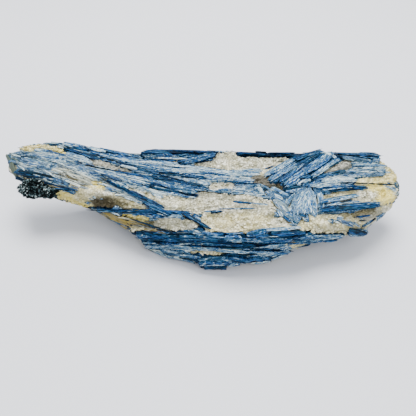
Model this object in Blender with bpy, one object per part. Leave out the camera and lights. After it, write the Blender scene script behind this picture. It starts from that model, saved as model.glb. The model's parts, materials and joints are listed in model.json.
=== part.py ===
"""A cluster of blue kyanite blades grown through a bed of white quartz, with a clump of dark mica at one end.

The long side runs along X, +Y is the back and +Z is up. The origin is on the flat sole under the stone's
middle, at z = 0, and both of its ends stand clear of the table. All sizes are in metres.
"""

import math
import random

import bmesh
import bpy
from mathutils import Matrix, Vector, noise

MM = 0.001
GAP = 0.35 * MM  # clearance between two pieces that meet
REST_GAP = 0.45 * MM  # no blade comes nearer to the table than this
STONE_INSET = 2.2 * MM  # the quartz lies this far under the skin that the blades reach
LUMP = 1.0 * MM  # height of the quartz's lumps
LUMP_SIZE = 13 * MM
STATION_STEP = 10 * MM  # spacing of the quartz's cross-sections along X
END_X = (-116 * MM, 116 * MM)

# Six lines along the skin of the stone, from its left end to its right end, as (x, y, z) in millimetres.
BACK_CREST = [
    (-119, 29, 36), (-112, 34, 39), (-100, 36, 41), (-89, 37, 41.4), (-83, 36.5, 39), (-66, 36, 37.8),
    (-58, 35.5, 37.2), (-48, 35, 34.2), (-41, 34, 32.6), (-35, 34, 35.4), (-30, 34, 37), (5, 33.5, 36.6),
    (20, 33, 35.6), (56, 33, 35.6), (70, 33, 37), (88, 32.5, 36), (104, 32, 36.4), (110, 30, 35),
    (116, 25, 31.6), (121, 20, 28),
]
FRONT_CREST = [
    (-119, 22, 33.5), (-113, 20, 33.5), (-100, 11, 33), (-87, 6, 33), (-57, 1, 31), (-28, -11, 29), (-6, -19, 27),
    (20, -28, 26), (52, -24, 27), (74, -20, 28), (100, -8, 29), (114, 6, 28), (121, 14, 25),
]
FRONT_SKIRT = [
    (-119, 23, 30), (-113, 21, 27), (-100, 12, 21), (-80, 8.5, 17.6), (-70, 7, 16.6), (-52, 0.5, 12.8),
    (-46, -6, 12), (-41, -11.5, 8.2), (-36, -14.5, 4.6), (-22, -20, 3.4), (3, -30, 2.2), (10, -30, 2.6),
    (37, -26.5, 3.6), (46, -23.5, 4), (53, -18.5, 6.6), (75, -16, 9), (91, -14, 12), (102, -6.5, 12.6),
    (113, 3, 14.5), (121, 13, 20),
]
SOLE_FRONT = [
    (-119, 24, 28), (-110, 22, 23), (-90, 17, 16), (-60, 10, 7), (-40, 0, 0), (0, -17, 0),
    (35, -17, 0), (62, -6, 0), (85, -2, 6), (110, 9, 13.5), (121, 15, 19.5),
]
SOLE_BACK = [
    (-119, 25, 27), (-110, 26, 22), (-90, 27, 16), (-60, 27, 7), (-40, 25, 0), (0, 25, 0),
    (35, 25, 0), (62, 22, 0), (85, 20, 7), (110, 17, 15), (121, 18, 20),
]
BACK_SKIRT = [
    (-119, 27, 29), (-111, 32, 29), (-96, 35, 27), (-60, 35, 20), (-30, 34, 13), (20, 33, 11),
    (70, 31, 12), (97, 27, 18), (112, 22, 22), (121, 19, 23.5),
]
LINES = (BACK_CREST, FRONT_CREST, FRONT_SKIRT, SOLE_FRONT, SOLE_BACK, BACK_SKIRT)
POINTS_A_FACE = (7, 4, 2, 3, 2, 4)  # cross-section points from each line to the next
BULGE = (0.8 * MM, 1.5 * MM, 0, 0, 0, 1.5 * MM)  # how far each face swells between its two lines


def along(line, x):
    """The point of a line at x, between the two of its points that x lies between."""
    x_mm = min(max(x / MM, line[0][0]), line[-1][0])
    for low, high in zip(line, line[1:]):
        if x_mm <= high[0]:
            share = (x_mm - low[0]) / (high[0] - low[0])
            point = Vector(low).lerp(Vector(high), share) * MM
            return Vector((x, point.y, point.z))
    raise ValueError(f"no line reaches x = {x}")


def skin(x, turn):
    """A point of the skin: turn 0 is the back crest, 1 the front crest, 2 the front skirt, 3 and 4 the sole, 5 the
    back skirt, and 6 the back crest again."""
    turn %= len(LINES)
    face = int(turn)
    share = turn - face
    start = along(LINES[face], x)
    end = along(LINES[(face + 1) % len(LINES)], x)
    out = Vector((0, start.z - end.z, end.y - start.y))
    swell = BULGE[face] * math.sin(math.pi * share)
    return start.lerp(end, share) - out.normalized() * swell if out.length else start


def outward(x, turn):
    """The skin's outward direction."""
    dx, dturn = 4 * MM, 0.12
    lengthwise = skin(x + dx, turn) - skin(x - dx, turn)
    round_it = skin(x, turn + dturn) - skin(x, turn - dturn)
    normal = lengthwise.cross(round_it).normalized()
    middle = sum((along(line, x) for line in LINES), Vector()) / len(LINES)
    return normal if normal.dot(skin(x, turn) - middle) > 0 else -normal


def on_skin(x_mm, turn, lift_mm=0.0):
    """The point above the skin at x, with the lift measured outwards."""
    x = x_mm * MM
    return skin(x, turn) + outward(x, turn) * (lift_mm * MM)


# Cross-sections of a blade, as (across, up) from its middle: two broad cleavage faces with bevelled edges, and
# the plainer one of the blades that only fill a sheaf.
BEVELLED = ((-1, -0.15), (-0.8, 1), (0.84, 1), (1, 0.1), (0.8, -1), (-0.84, -1))
PLAIN = ((-1, -1), (-0.82, 1), (0.86, 1), (1, -1))


class Blade:
    """One straight kyanite crystal. Each end is (x in mm, turn, lift in mm) of its upper face, and roll leans it
    about its own length, in degrees. A pointed blade narrows to a chisel tip at both ends."""

    def __init__(self, start, end, width, thickness, roll=0.0, pointed=False, slant=0.3, outline=BEVELLED):
        self.ends = [on_skin(*start), on_skin(*end)]
        facing = outward(start[0] * MM, start[1]) + outward(end[0] * MM, end[1])
        self.length_way = (self.ends[1] - self.ends[0]).normalized()
        across = self.length_way.cross(facing).normalized()
        lean = Matrix.Rotation(math.radians(roll), 3, self.length_way)
        self.across = lean @ across
        self.up = self.across.cross(self.length_way)
        self.width = width * MM
        self.thickness = thickness * MM
        self.pointed = pointed
        self.slant = slant
        self.outline = outline

    def ring(self, at, shift, width_share, thickness_share, grow):
        half = self.width / 2 * width_share + grow
        depth = self.thickness / 2 * thickness_share + grow
        centre = at - self.up * (self.thickness / 2)
        corners = [
            centre + self.across * (a * half) + self.up * (u * depth)
            + self.length_way * (shift + a * self.slant * half)
            for a, u in self.outline
        ]
        for corner in corners:
            corner.z = max(corner.z, REST_GAP - grow)
        return corners

    def rings(self, grow):
        """The cross-sections from one end to the other. Grow swells the blade on every side."""
        start, end = self.ends
        length = (end - start).length
        if not self.pointed:
            return [self.ring(start, -grow, 0.9, 0.9, grow), self.ring(end, grow, 0.8, 0.8, grow)]
        shoulder = 0.16
        return [
            self.ring(start, -grow, 0.4, 0.45, grow),
            self.ring(start, length * shoulder, 1, 1, grow),
            self.ring(end, -length * shoulder * 1.3, 1, 1, grow),
            self.ring(end, grow, 0.35, 0.4, grow),
        ]

    def mesh(self, grow=0.0):
        return tube_mesh(self.rings(grow))


def tube_mesh(rings, end_points=()):
    """A closed mesh through rings of equal count. Given a point for each end, an end is a fan about it."""
    bm = bmesh.new()
    rows = [[bm.verts.new(point) for point in ring] for ring in rings]
    for low, high in zip(rows, rows[1:]):
        for i in range(len(low)):
            j = (i + 1) % len(low)
            bm.faces.new((low[i], low[j], high[j], high[i]))
    if end_points:
        for row, point in zip((rows[0], rows[-1]), end_points):
            tip = bm.verts.new(point)
            for i in range(len(row)):
                bm.faces.new((row[i], row[(i + 1) % len(row)], tip))
    else:
        bm.faces.new(rows[0])
        bm.faces.new(rows[-1])
    bmesh.ops.triangulate(bm, faces=bm.faces)
    bmesh.ops.recalc_face_normals(bm, faces=bm.faces)
    if bm.calc_volume(signed=True) < 0:
        bmesh.ops.reverse_faces(bm, faces=bm.faces)
    mesh = bpy.data.meshes.new("shape")
    bm.to_mesh(mesh)
    bm.free()
    return mesh


class Band:
    """A stretch of skin filled with blades that run from its start to its end between two edges.
    Each edge is a list of (x in mm, turn), and the lengths, widths, thicknesses and lifts are (least, most)."""

    def __init__(self, edges, count, length, width, thickness, lift, skew=0.04):
        self.edges = edges
        self.count = count
        self.length = length
        self.width = width
        self.thickness = thickness
        self.lift = lift
        self.skew = skew
        middle = [self.at(i / 8, 0.5) for i in range(9)]
        points = [on_skin(*place) for place in middle]
        self.reach = sum((b - a).length for a, b in zip(points, points[1:])) / MM

    def at(self, share, side):
        """(x in mm, turn) at a share of the band's length, with side 0 on its first edge and 1 on its second."""
        places = []
        for edge in self.edges:
            step = min(max(share, 0.0), 0.9999) * (len(edge) - 1)
            low, high = edge[int(step)], edge[int(step) + 1]
            places.append([a + (b - a) * (step - int(step)) for a, b in zip(low, high)])
        return [a + (b - a) * side for a, b in zip(*places)]

    def blades(self, rng):
        """The band's blades, spread evenly over it by two irrational steps."""
        made = []
        for i in range(self.count):
            side = (i * 0.6180 + rng.uniform(-0.03, 0.03)) % 1
            long = rng.uniform(*self.length)
            half = long / self.reach / 2
            middle = half + (i * 0.7549 % 1) * max(1 - 2 * half, 0)
            lift = rng.uniform(*self.lift)
            twist = rng.uniform(-self.skew, self.skew)
            start = (*self.at(middle - half, side - twist), lift)
            end = (*self.at(middle + half, side + twist), lift + rng.uniform(-0.5, 0.5))
            made.append(Blade(
                start, end, rng.uniform(*self.width), rng.uniform(*self.thickness),
                roll=rng.uniform(-14, 14), slant=rng.uniform(-0.8, 0.8), outline=PLAIN,
            ))
        return made


SWEEP_BANDS = [
    # the long sweep, from the back of the left end to the middle of the top
    Band(([(-92, 0.06), (-60, 0.05), (-32, 0.22), (0, 0.26), (38, 0.36)],
          [(-84, 0.36), (-52, 0.54), (-25, 0.68), (1, 0.73), (42, 0.68)]),
         15, (34, 56), (6.4, 8.4), (3.2, 4.6), (-0.3, 1.0)),
    # the left arm
    Band(([(-118, 0.1), (-97, 0.2), (-78, 0.28), (-58, 0.36)],
          [(-110, 0.98), (-92, 0.92), (-70, 0.9), (-50, 0.78)]),
         12, (20, 38), (6, 8), (3.2, 4.8), (-0.4, 1.0)),
]
FAN_BANDS = [
    # the fan that spreads from the crossing to the right end
    Band(([(60, 0.34), (83, 0.05), (110, 0.04)], [(58, 0.62), (82, 0.56), (117, 0.6)]),
         11, (26, 42), (6, 8), (3, 4.2), (-0.4, 0.8), skew=0.02),
    # the tangle in front of the crossing
    Band(([(30, 0.42), (46, 0.4), (66, 0.46)], [(33, 0.74), (46, 0.96), (62, 1.0)]),
         6, (14, 21), (5.8, 7.5), (3.2, 4.4), (-0.2, 0.6), skew=0.3),
]
CROSSING_BLADES = [
    Blade((54, 0.44, 2.0), (78, 0.08, 2.4), 8.6, 5, roll=-6, slant=0.15),
    Blade((44, 0.52, 1.6), (63, 0.22, 2.6), 6.4, 5, roll=12, slant=-0.3),
    Blade((50, 0.2, 2.2), (74, 0.02, 1.8), 6.6, 5, roll=8, slant=0.5),
    Blade((35, 0.47, 1.2), (57, 0.15, 1.8), 7.6, 5, roll=-8, slant=0.4),
    Blade((62, 0.36, 1.2), (90, 0.16, 2.0), 5.4, 4.6, roll=6, pointed=True),
    Blade((51, 0.92, 1.0), (55, 0.5, 1.8), 6.6, 4.6, roll=10, pointed=True),
    Blade((58, 0.98, 0.8), (60, 0.46, 1.4), 5.2, 4.4, roll=-12, pointed=True),
    Blade((38, 0.56, 0.8), (62, 0.66, 1.2), 5.6, 4.4, roll=5),
]
FRONT_BANDS = [
    Band(([(-39, 1.66), (-12, 1.2), (20, 1.0), (56, 1.06), (80, 1.42)],
          [(-34, 2.1), (-12, 2.05), (16, 2.06), (44, 2.04), (72, 2.02)]),
         12, (34, 52), (6.8, 8.8), (3.6, 5), (-0.2, 1.2), skew=0.03),
    Band(([(-24, 2.05), (16, 2.0)], [(-16, 2.5), (18, 2.45)]),
         4, (20, 32), (5, 7), (3.6, 4.6), (-0.8, -0.2)),
]
FRONT_LEDGE_BLADES = [
    Blade((-40, 1.8, 2.2), (22, 1.12, 2.4), 8.5, 5.5, roll=10, pointed=True),
    Blade((18, 1.16, 1.6), (57, 1.2, 2.0), 7.0, 5.2, roll=4, pointed=True),
    Blade((36, 1.12, 2.4), (60, 1.16, 2.6), 5.4, 4.6, roll=-6, pointed=True),
    Blade((21, 0.99, 1.6), (36, 0.97, 1.6), 5.2, 4.8, roll=12, pointed=True),
    Blade((-3, 1.72, 2.2), (16, 1.76, 2.4), 7.4, 5.4, roll=-8, pointed=True),
    Blade((-1, 1.96, 1.4), (13, 1.98, 1.4), 6.4, 4.6),
    Blade((14, 1.74, 1.8), (38, 1.84, 1.8), 7.0, 5.2, roll=6),
    Blade((28, 1.9, 1.0), (48, 1.72, 1.6), 6.0, 4.6, roll=-6),
    Blade((-22, 1.93, 1.8), (20, 1.56, 1.8), 6.2, 4.8, roll=-4),
    Blade((52, 1.4, 1.4), (80, 1.72, 1.4), 6.2, 4.8, roll=4, pointed=True),
]
REAR_BANDS = [
    # from the notch in the crest to the right end
    Band(([(-34, 5.9), (0, 5.96), (40, 5.96), (84, 5.96), (108, 5.94)],
          [(-42, 5.1), (0, 5.05), (40, 5.05), (84, 5.1), (106, 5.3)]),
         10, (46, 66), (8.5, 11), (3.6, 5), (-0.3, 0.5), skew=0.03),
    # from the left end to the notch
    Band(([(-118, 5.85), (-98, 5.85), (-74, 5.84), (-42, 5.74)],
          [(-116, 5.2), (-96, 5.1), (-74, 5.1), (-40, 5.1)]),
         7, (28, 40), (7.5, 9.5), (3.4, 4.8), (-0.4, 0.5)),
]
REAR_LEDGE_BLADES = [
    Blade((-34, 0.0, 1.8), (9, 0.02, 1.4), 8.0, 5.4, roll=-6, slant=-0.9),
    Blade((2, 0.0, 0.6), (42, 0.01, 0.7), 5.4, 4.6, roll=8, slant=-0.4),
    Blade((-111, 5.98, 0.8), (-87, 0.0, 1.4), 7.6, 5.6, slant=0.5),
    Blade((-92, 5.99, 0.2), (-54, 0.02, 1.0), 6.6, 5.2, roll=4, slant=0.5),
    Blade((-68, 0.01, 0.8), (-41, 0.04, 0.5), 6.2, 5.0, roll=-4, slant=0.6),
    Blade((78, 0.0, 0.2), (107, 0.0, 1.4), 5.4, 4.6, roll=6),
    Blade((-62, 5.45, 0.4), (-18, 5.4, 0.4), 8, 4.6),
]
UNDER_BANDS = [
    Band(([(-112, 2.1), (-84, 2.1), (-52, 2.2)], [(-112, 4.9), (-84, 4.7), (-56, 4.5)]),
         8, (26, 42), (7, 9), (3.4, 4.6), (-0.6, 0.6), skew=0.05),
]
RIGHT_END_BANDS = [
    Band(([(104, 1.0), (118, 0.8)], [(96, 1.9), (117, 2.3)]),
         6, (9, 15), (5, 7), (3.2, 4.4), (-0.3, 0.6)),
    Band(([(84, 2.6), (112, 2.6)], [(84, 4.6), (112, 4.6)]),
         6, (16, 26), (6, 8), (3.2, 4.2), (-0.6, 0.4)),
]
LEFT_SKIRT_BANDS = [
    Band(([(-70, 1.62), (-54, 1.5), (-32, 1.3)], [(-66, 2.1), (-50, 2.05), (-34, 1.6)]),
         8, (14, 30), (3.6, 5.4), (3, 4.2), (-0.3, 0.8)),
]
FORKED_BLADES = [
    Blade((-55, 0.7, 0.8), (-20, 0.99, 1.2), 3.4, 4.4, roll=14, pointed=True),
    Blade((-60, 1.6, 1.2), (-28, 1.1, 1.6), 3.6, 4.6, roll=-6, pointed=True),
    Blade((-36, 1.2, 1.4), (-4, 0.9, 1.4), 3.8, 4.6, roll=-6, pointed=True),
    Blade((-13, 0.92, 1.2), (7, 1.1, 1.4), 4.6, 4.6, roll=-10, pointed=True),
]
LONE_BLADES = {
    "rear_lens_blade": Blade((-15, 0.18, 1.6), (9, 0.05, 2.2), 5.6, 4.2, roll=-4, pointed=True),
    "inset_blade": Blade((63, 0.85, 1.6), (100, 0.97, 1.6), 5.8, 5, roll=-8, pointed=True),
    "inset_side_blade": Blade((62, 0.77, 1.0), (87, 0.74, 1.4), 3.8, 4, roll=12, pointed=True),
    "tip_blade": Blade((80, 1.56, 2.0), (94, 1.96, 2.2), 4.6, 4.2, roll=6, pointed=True),
    "lower_right_blade": Blade((70, 0.98, 0.8), (84, 1.5, 1.2), 5.0, 4, roll=-4, pointed=True),
    "upper_sliver": Blade((17, 0.64, 0.9), (36, 0.7, 0.9), 1.8, 3.2, pointed=True),
    "lower_sliver": Blade((0, 0.83, 0.7), (30, 0.74, 0.7), 1.5, 3.0, pointed=True),
}
MICA_CENTRE = Vector((-94.5, 11.5, 26.4)) * MM
MICA_RADII = (13.5 * MM, 8 * MM, 6.6 * MM)
MICA_LUMP = 0.22  # share of the radius
MICA_LUMP_SIZE = 6 * MM


def lump(place, size, seed):
    """Smooth noise of about -1 to 1 at a place, with one finer octave."""
    at = place / size + Vector((seed, seed * 2.3, seed * 4.1))
    return noise.noise(at) + 0.5 * noise.noise(at * 2.3)


def quartz_mesh():
    """The lumpy bed that the blades grow through."""
    low_x, high_x = END_X
    stations = round((high_x - low_x) / STATION_STEP)
    rings = []
    for i in range(stations + 1):
        x = low_x + (high_x - low_x) * i / stations
        middle = sum((along(line, x) for line in LINES), Vector()) / len(LINES)
        ring = []
        for face, count in enumerate(POINTS_A_FACE):
            for j in range(count):
                turn = face + j / count
                place = skin(x, turn)
                inset = STONE_INSET - lump(place, LUMP_SIZE, 3.0) * LUMP
                depth = max((place - middle).dot(outward(x, turn)), 2 * MM)
                place = place.lerp(middle, min(inset / depth, 0.35))
                place.z = max(place.z, 0)
                if along(SOLE_FRONT, x).z <= 0 and 3 <= turn <= 4:
                    place.z = 0
                ring.append(place)
        rings.append(ring)
    ends = []
    for ring, way in ((rings[0], -1), (rings[-1], 1)):
        middle = sum(ring, Vector()) / len(ring)
        ends.append(middle + Vector((way * 2 * MM, 0, 0)))
    return tube_mesh(rings, ends)


def mica_mesh():
    """A clump of dark mica books: a lumpy pebble."""
    bm = bmesh.new()
    bmesh.ops.create_icosphere(bm, subdivisions=3, radius=1)
    for vert in bm.verts:
        place = Vector(c * r for c, r in zip(vert.co, MICA_RADII))
        swell = 1 + MICA_LUMP * lump(place, MICA_LUMP_SIZE, 9.0)
        vert.co = MICA_CENTRE + place * swell
    mesh = bpy.data.meshes.new("shape")
    bm.to_mesh(mesh)
    bm.free()
    return mesh


def swollen(mesh, grow):
    """A copy of a mesh with every face moved out by about grow."""
    bm = bmesh.new()
    bm.from_mesh(mesh)
    bm.normal_update()
    steps = [vert.normal * vert.calc_shell_factor() * grow for vert in bm.verts]
    for vert, step in zip(bm.verts, steps):
        vert.co += step
    made = bpy.data.meshes.new("shape")
    bm.to_mesh(made)
    bm.free()
    return made


def add_object(name, mesh):
    obj = bpy.data.objects.new(name, mesh)
    bpy.context.scene.collection.objects.link(obj)
    return obj


def combine(first, others, operation):
    """The first mesh joined with the others, or cut by them, as one new mesh."""
    base = add_object("base", first)
    helpers = bpy.data.collections.new("helpers")
    for mesh in others:
        helpers.objects.link(bpy.data.objects.new("helper", mesh))
    step = base.modifiers.new("combine", "BOOLEAN")
    step.operation = operation
    step.operand_type = "COLLECTION"
    step.collection = helpers
    step.solver = "EXACT"
    graph = bpy.context.evaluated_depsgraph_get()
    result = bpy.data.meshes.new_from_object(base.evaluated_get(graph))
    for helper in list(helpers.objects):
        bpy.data.objects.remove(helper)
    bpy.data.collections.remove(helpers)
    bpy.data.objects.remove(base)
    return result


def largest_body(mesh):
    """Keeps the biggest of a mesh's separate bodies, so that a cut leaves no crumbs."""
    bm = bmesh.new()
    bm.from_mesh(mesh)
    bmesh.ops.remove_doubles(bm, verts=bm.verts, dist=MM * 0.004)
    bmesh.ops.triangulate(bm, faces=bm.faces)
    bmesh.ops.dissolve_degenerate(bm, edges=bm.edges, dist=MM * 0.004)
    bmesh.ops.triangulate(bm, faces=bm.faces)
    left = set(bm.faces)
    bodies = []
    while left:
        body = {left.pop()}
        front = list(body)
        while front:
            for edge in front.pop().edges:
                for face in edge.link_faces if len(edge.link_faces) == 2 else ():
                    if face in left:
                        left.remove(face)
                        body.add(face)
                        front.append(face)
        bodies.append(body)
    keep = max(bodies, key=lambda body: sum(face.calc_area() for face in body))
    bmesh.ops.delete(bm, geom=[f for f in bm.faces if f not in keep], context="FACES")
    bmesh.ops.delete(bm, geom=[v for v in bm.verts if not v.link_faces], context="VERTS")
    bm.to_mesh(mesh)
    bm.free()
    return mesh


def apart(one, other):
    """Whether the boxes of two meshes stand clear of each other."""
    boxes = []
    for mesh in (one, other):
        axes = list(zip(*(vert.co for vert in mesh.vertices)))
        boxes.append([(min(axis), max(axis)) for axis in axes])
    return any(a[1] < b[0] or b[1] < a[0] for a, b in zip(*boxes))


def joined(meshes):
    return combine(meshes[0], meshes[1:], "UNION") if len(meshes) > 1 else meshes[0]


def material(name, colour, roughness):
    made = bpy.data.materials.new(name)
    made.use_nodes = True
    shader = made.node_tree.nodes["Principled BSDF"]
    shader.inputs["Base Color"].default_value = (*colour, 1)
    shader.inputs["Roughness"].default_value = roughness
    return made


def main():
    for obj in list(bpy.data.objects):
        bpy.data.objects.remove(obj)
    rng = random.Random(7)
    kyanite = material("kyanite", (0.12, 0.25, 0.45), 0.4)
    quartz = material("quartz", (0.8, 0.78, 0.7), 0.5)
    mica = material("dark_mica", (0.03, 0.035, 0.035), 0.45)

    groups = {}
    for name, bands, own in (
        ("sweep_blades", SWEEP_BANDS, []),
        ("fan_blades", FAN_BANDS, CROSSING_BLADES),
        ("front_blades", FRONT_BANDS, FRONT_LEDGE_BLADES),
        ("rear_blades", REAR_BANDS, REAR_LEDGE_BLADES),
        ("under_blades", UNDER_BANDS, []),
        ("right_end_blades", RIGHT_END_BANDS, []),
        ("left_skirt_blades", LEFT_SKIRT_BANDS, []),
        ("forked_blades", [], FORKED_BLADES),
    ):
        groups[name] = list(own) + [blade for band in bands for blade in band.blades(rng)]
    for name, blade in LONE_BLADES.items():
        groups[name] = [blade]

    bed = add_object("quartz_matrix", quartz_mesh())
    cutters = [swollen(bed.data, GAP)]
    bed.data.materials.append(quartz)
    clump = mica_mesh()
    cutters.append(swollen(clump, GAP))
    clump = largest_body(combine(clump, [cutters[0].copy()], "DIFFERENCE"))
    add_object("dark_mica_clump", clump).data.materials.append(mica)
    for name, blades in groups.items():
        solid = joined([blade.mesh() for blade in blades])
        near = [mesh.copy() for mesh in cutters if not apart(solid, mesh)]
        solid = largest_body(combine(solid, near, "DIFFERENCE"))
        solid.name = name
        add_object(name, solid).data.materials.append(kyanite)
        cutters.append(joined([blade.mesh(GAP) for blade in blades]))


if __name__ == "__main__":
    main()
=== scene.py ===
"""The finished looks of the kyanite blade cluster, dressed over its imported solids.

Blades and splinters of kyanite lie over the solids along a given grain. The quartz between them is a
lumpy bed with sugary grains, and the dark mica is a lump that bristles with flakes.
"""

import json
import math
from collections import namedtuple
from contextlib import contextmanager

import bmesh
import bpy
import numpy as np
from mathutils import Matrix, Vector, noise
from mathutils.bvhtree import BVHTree

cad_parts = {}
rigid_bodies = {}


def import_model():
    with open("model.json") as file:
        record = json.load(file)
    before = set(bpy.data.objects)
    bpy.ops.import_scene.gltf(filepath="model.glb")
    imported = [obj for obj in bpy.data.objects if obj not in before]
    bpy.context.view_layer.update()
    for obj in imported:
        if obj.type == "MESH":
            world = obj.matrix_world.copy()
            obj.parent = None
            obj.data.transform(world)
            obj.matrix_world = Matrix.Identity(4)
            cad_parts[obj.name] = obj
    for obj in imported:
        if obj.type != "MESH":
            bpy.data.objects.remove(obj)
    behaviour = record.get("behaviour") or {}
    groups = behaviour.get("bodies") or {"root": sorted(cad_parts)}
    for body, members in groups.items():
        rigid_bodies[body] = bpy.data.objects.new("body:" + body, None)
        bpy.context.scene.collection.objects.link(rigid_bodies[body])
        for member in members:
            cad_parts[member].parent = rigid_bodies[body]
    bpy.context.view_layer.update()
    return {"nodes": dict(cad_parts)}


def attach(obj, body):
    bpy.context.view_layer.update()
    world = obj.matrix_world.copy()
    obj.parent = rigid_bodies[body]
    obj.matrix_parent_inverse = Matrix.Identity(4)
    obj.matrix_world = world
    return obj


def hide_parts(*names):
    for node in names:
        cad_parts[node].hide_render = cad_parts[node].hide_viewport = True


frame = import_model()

MM = 0.001
WELD = 0.005 * MM  # corners of a solid's triangles that are nearer than this are one corner
SOLE_BAND = 1.5 * MM  # nothing is laid on a face below this height that looks down

QUARTZ_NODE = "quartz_matrix"
MICA_NODE = "dark_mica_clump"

LAYING_SEED = 5
SHAPE_SEED = 11
SPLINTER_COUNT = 21000
GRAIN_COUNT = 12000
FLAKE_COUNT = 900


def link(name, data):
    """A new object in the scene."""
    made = bpy.data.objects.new(name, data)
    bpy.context.scene.collection.objects.link(made)
    return made


# --- the main view ---

AIM = Vector((3.4, -15, 34)) * MM
PITCH = math.radians(42)
DISTANCE = 227 * MM
VIEW = 416  # how wide and high the main view is, in its own units
FOCAL = 427  # in the same units
MM_PER_UNIT = 0.53  # what one unit spans at the stone
STONE_MIDDLE = (208, 200)  # in the main view

VIEW_RIGHT = Vector((1, 0, 0))
VIEW_UP = Vector((0, math.sin(PITCH), math.cos(PITCH)))
VIEW_AHEAD = Vector((0, math.cos(PITCH), -math.sin(PITCH)))
EYE = AIM - VIEW_AHEAD * DISTANCE


def make_camera():
    data = bpy.data.cameras.new("main_view")
    data.sensor_width = 36
    data.lens = FOCAL / VIEW * data.sensor_width
    data.clip_start = 0.01
    camera = link("main_view", data)
    camera.location = EYE
    camera.rotation_euler = (math.pi / 2 - PITCH, 0, 0)
    bpy.context.scene.camera = camera


def view_ray(x, y):
    """The direction from the eye through a place in the main view."""
    aside, above = (x - VIEW / 2) / FOCAL, (VIEW / 2 - y) / FOCAL
    return (VIEW_AHEAD + VIEW_RIGHT * aside + VIEW_UP * above).normalized()


def in_view(points):
    """Where points (n × 3) come in the main view, as n × 2."""
    away = points - np.array(EYE)
    deep = away @ np.array(VIEW_AHEAD)
    x = VIEW / 2 + FOCAL * (away @ np.array(VIEW_RIGHT)) / deep
    y = VIEW / 2 - FOCAL * (away @ np.array(VIEW_UP)) / deep
    return np.stack([x, y], axis=1)


# --- node trees ---


class Wire:
    """A socket of a node tree, with the arithmetic of Math nodes."""

    def __init__(self, graph, socket):
        self.graph = graph
        self.socket = socket

    def math(self, operation, *values, **settings):
        return self.graph.add("ShaderNodeMath", {"operation": operation, **settings}, [*values])

    def __add__(self, other):
        return self.math("ADD", self, other)

    __radd__ = __add__

    def __sub__(self, other):
        return self.math("SUBTRACT", self, other)

    def __rsub__(self, other):
        return self.math("SUBTRACT", other, self)

    def __mul__(self, other):
        return self.math("MULTIPLY", self, other)

    __rmul__ = __mul__

    def __truediv__(self, other):
        return self.math("DIVIDE", self, other)

    def __rtruediv__(self, other):
        return self.math("DIVIDE", other, self)

    def __pow__(self, other):
        return self.math("POWER", self, other)

    def clamped(self):
        return self.math("ADD", self, 0.0, use_clamp=True)

    def size(self):
        return self.math("ABSOLUTE", self)

    def over(self, low, high):
        """0 below low, 1 above high, and smooth between them."""
        settings = {"interpolation_type": "SMOOTHSTEP"}
        return self.graph.add("ShaderNodeMapRange", settings, [self, low, high])


class Graph:
    """A node tree, to which add puts one node and gives one of its outputs."""

    def __init__(self, tree):
        self.tree = tree

    def add(self, kind, settings=None, inputs=(), output=0):
        node = self.tree.nodes.new(kind)
        for name, value in (settings or {}).items():
            if name == "stops":
                for place, colour in value[2:]:
                    node.color_ramp.elements.new(place)
                for element, (place, colour) in zip(node.color_ramp.elements, value):
                    element.position = place
                    element.color = (*colour, 1)
            else:
                setattr(node, name, value)
        pairs = inputs.items() if isinstance(inputs, dict) else enumerate(inputs)
        for key, value in pairs:
            if isinstance(value, Wire):
                self.tree.links.new(value.socket, node.inputs[key])
            elif value is not None:
                node.inputs[key].default_value = value
        return Wire(self, node.outputs[output]) if len(node.outputs) else None

    def place(self):
        """The place on the piece, in the object's own coordinates."""
        return self.add("ShaderNodeTexCoord", {}, output=3)

    def vector(self, name):
        """A vector that the surface carries."""
        return self.add("ShaderNodeAttribute", {"attribute_name": name}, output=1)

    def number(self, name):
        """A number that the surface carries."""
        return self.add("ShaderNodeAttribute", {"attribute_name": name}, output=2)

    def parts(self, vector):
        """The three numbers of a vector."""
        node = self.add("ShaderNodeSeparateXYZ", {}, [vector]).socket.node
        return [Wire(self, socket) for socket in node.outputs]

    def stretched(self, vector, scale):
        return self.add("ShaderNodeVectorMath", {"operation": "MULTIPLY"}, [vector, scale])

    def scaled(self, vector, scale):
        return self.add("ShaderNodeVectorMath", {"operation": "SCALE"}, {0: vector, 3: scale})

    def noise(self, vector, scale, detail=2.0, roughness=0.5):
        inputs = {"Vector": vector, "Scale": scale, "Detail": detail, "Roughness": roughness}
        return self.add("ShaderNodeTexNoise", {}, inputs)

    def blend(self, first, second, share):
        return self.add("ShaderNodeMix", {"data_type": "RGBA"}, {0: share, 6: first, 7: second}, output=2)

    def ramp(self, stops, value):
        return self.add("ShaderNodeValToRGB", {"stops": stops}, [value])

    def named(self, name, kind="FLOAT"):
        """An attribute in a Geometry Nodes tree."""
        return self.add("GeometryNodeInputNamedAttribute", {"data_type": kind}, {"Name": name})

    def stored(self, geometry, name, value, kind="FLOAT"):
        """The geometry with a value written to an attribute."""
        inputs = {"Geometry": geometry, "Name": name, "Value": value}
        return self.add("GeometryNodeStoreNamedAttribute", {"data_type": kind}, inputs)

    def moved(self, geometry, offset):
        return self.add("GeometryNodeSetPosition", {}, {"Geometry": geometry, "Offset": offset})


def new_tree(name, inputs, output):
    """A Geometry Nodes tree and a wire for each of its inputs, which are given as (name, kind)."""
    tree = bpy.data.node_groups.new(name, "GeometryNodeTree")
    for label, kind in inputs:
        tree.interface.new_socket(label, in_out="INPUT", socket_type=f"NodeSocket{kind}")
    tree.interface.new_socket(output, in_out="OUTPUT", socket_type="NodeSocketGeometry")
    graph = Graph(tree)
    entry = tree.nodes.new("NodeGroupInput")
    return graph, [Wire(graph, entry.outputs[i]) for i in range(len(inputs))]


def finished_tree(graph, geometry, material):
    """Gives the geometry its material and ends the tree with it."""
    done = graph.add("GeometryNodeSetMaterial", {}, {"Geometry": geometry, "Material": material})
    graph.tree.links.new(done.socket, graph.tree.nodes.new("NodeGroupOutput").inputs[0])
    return graph.tree


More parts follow.
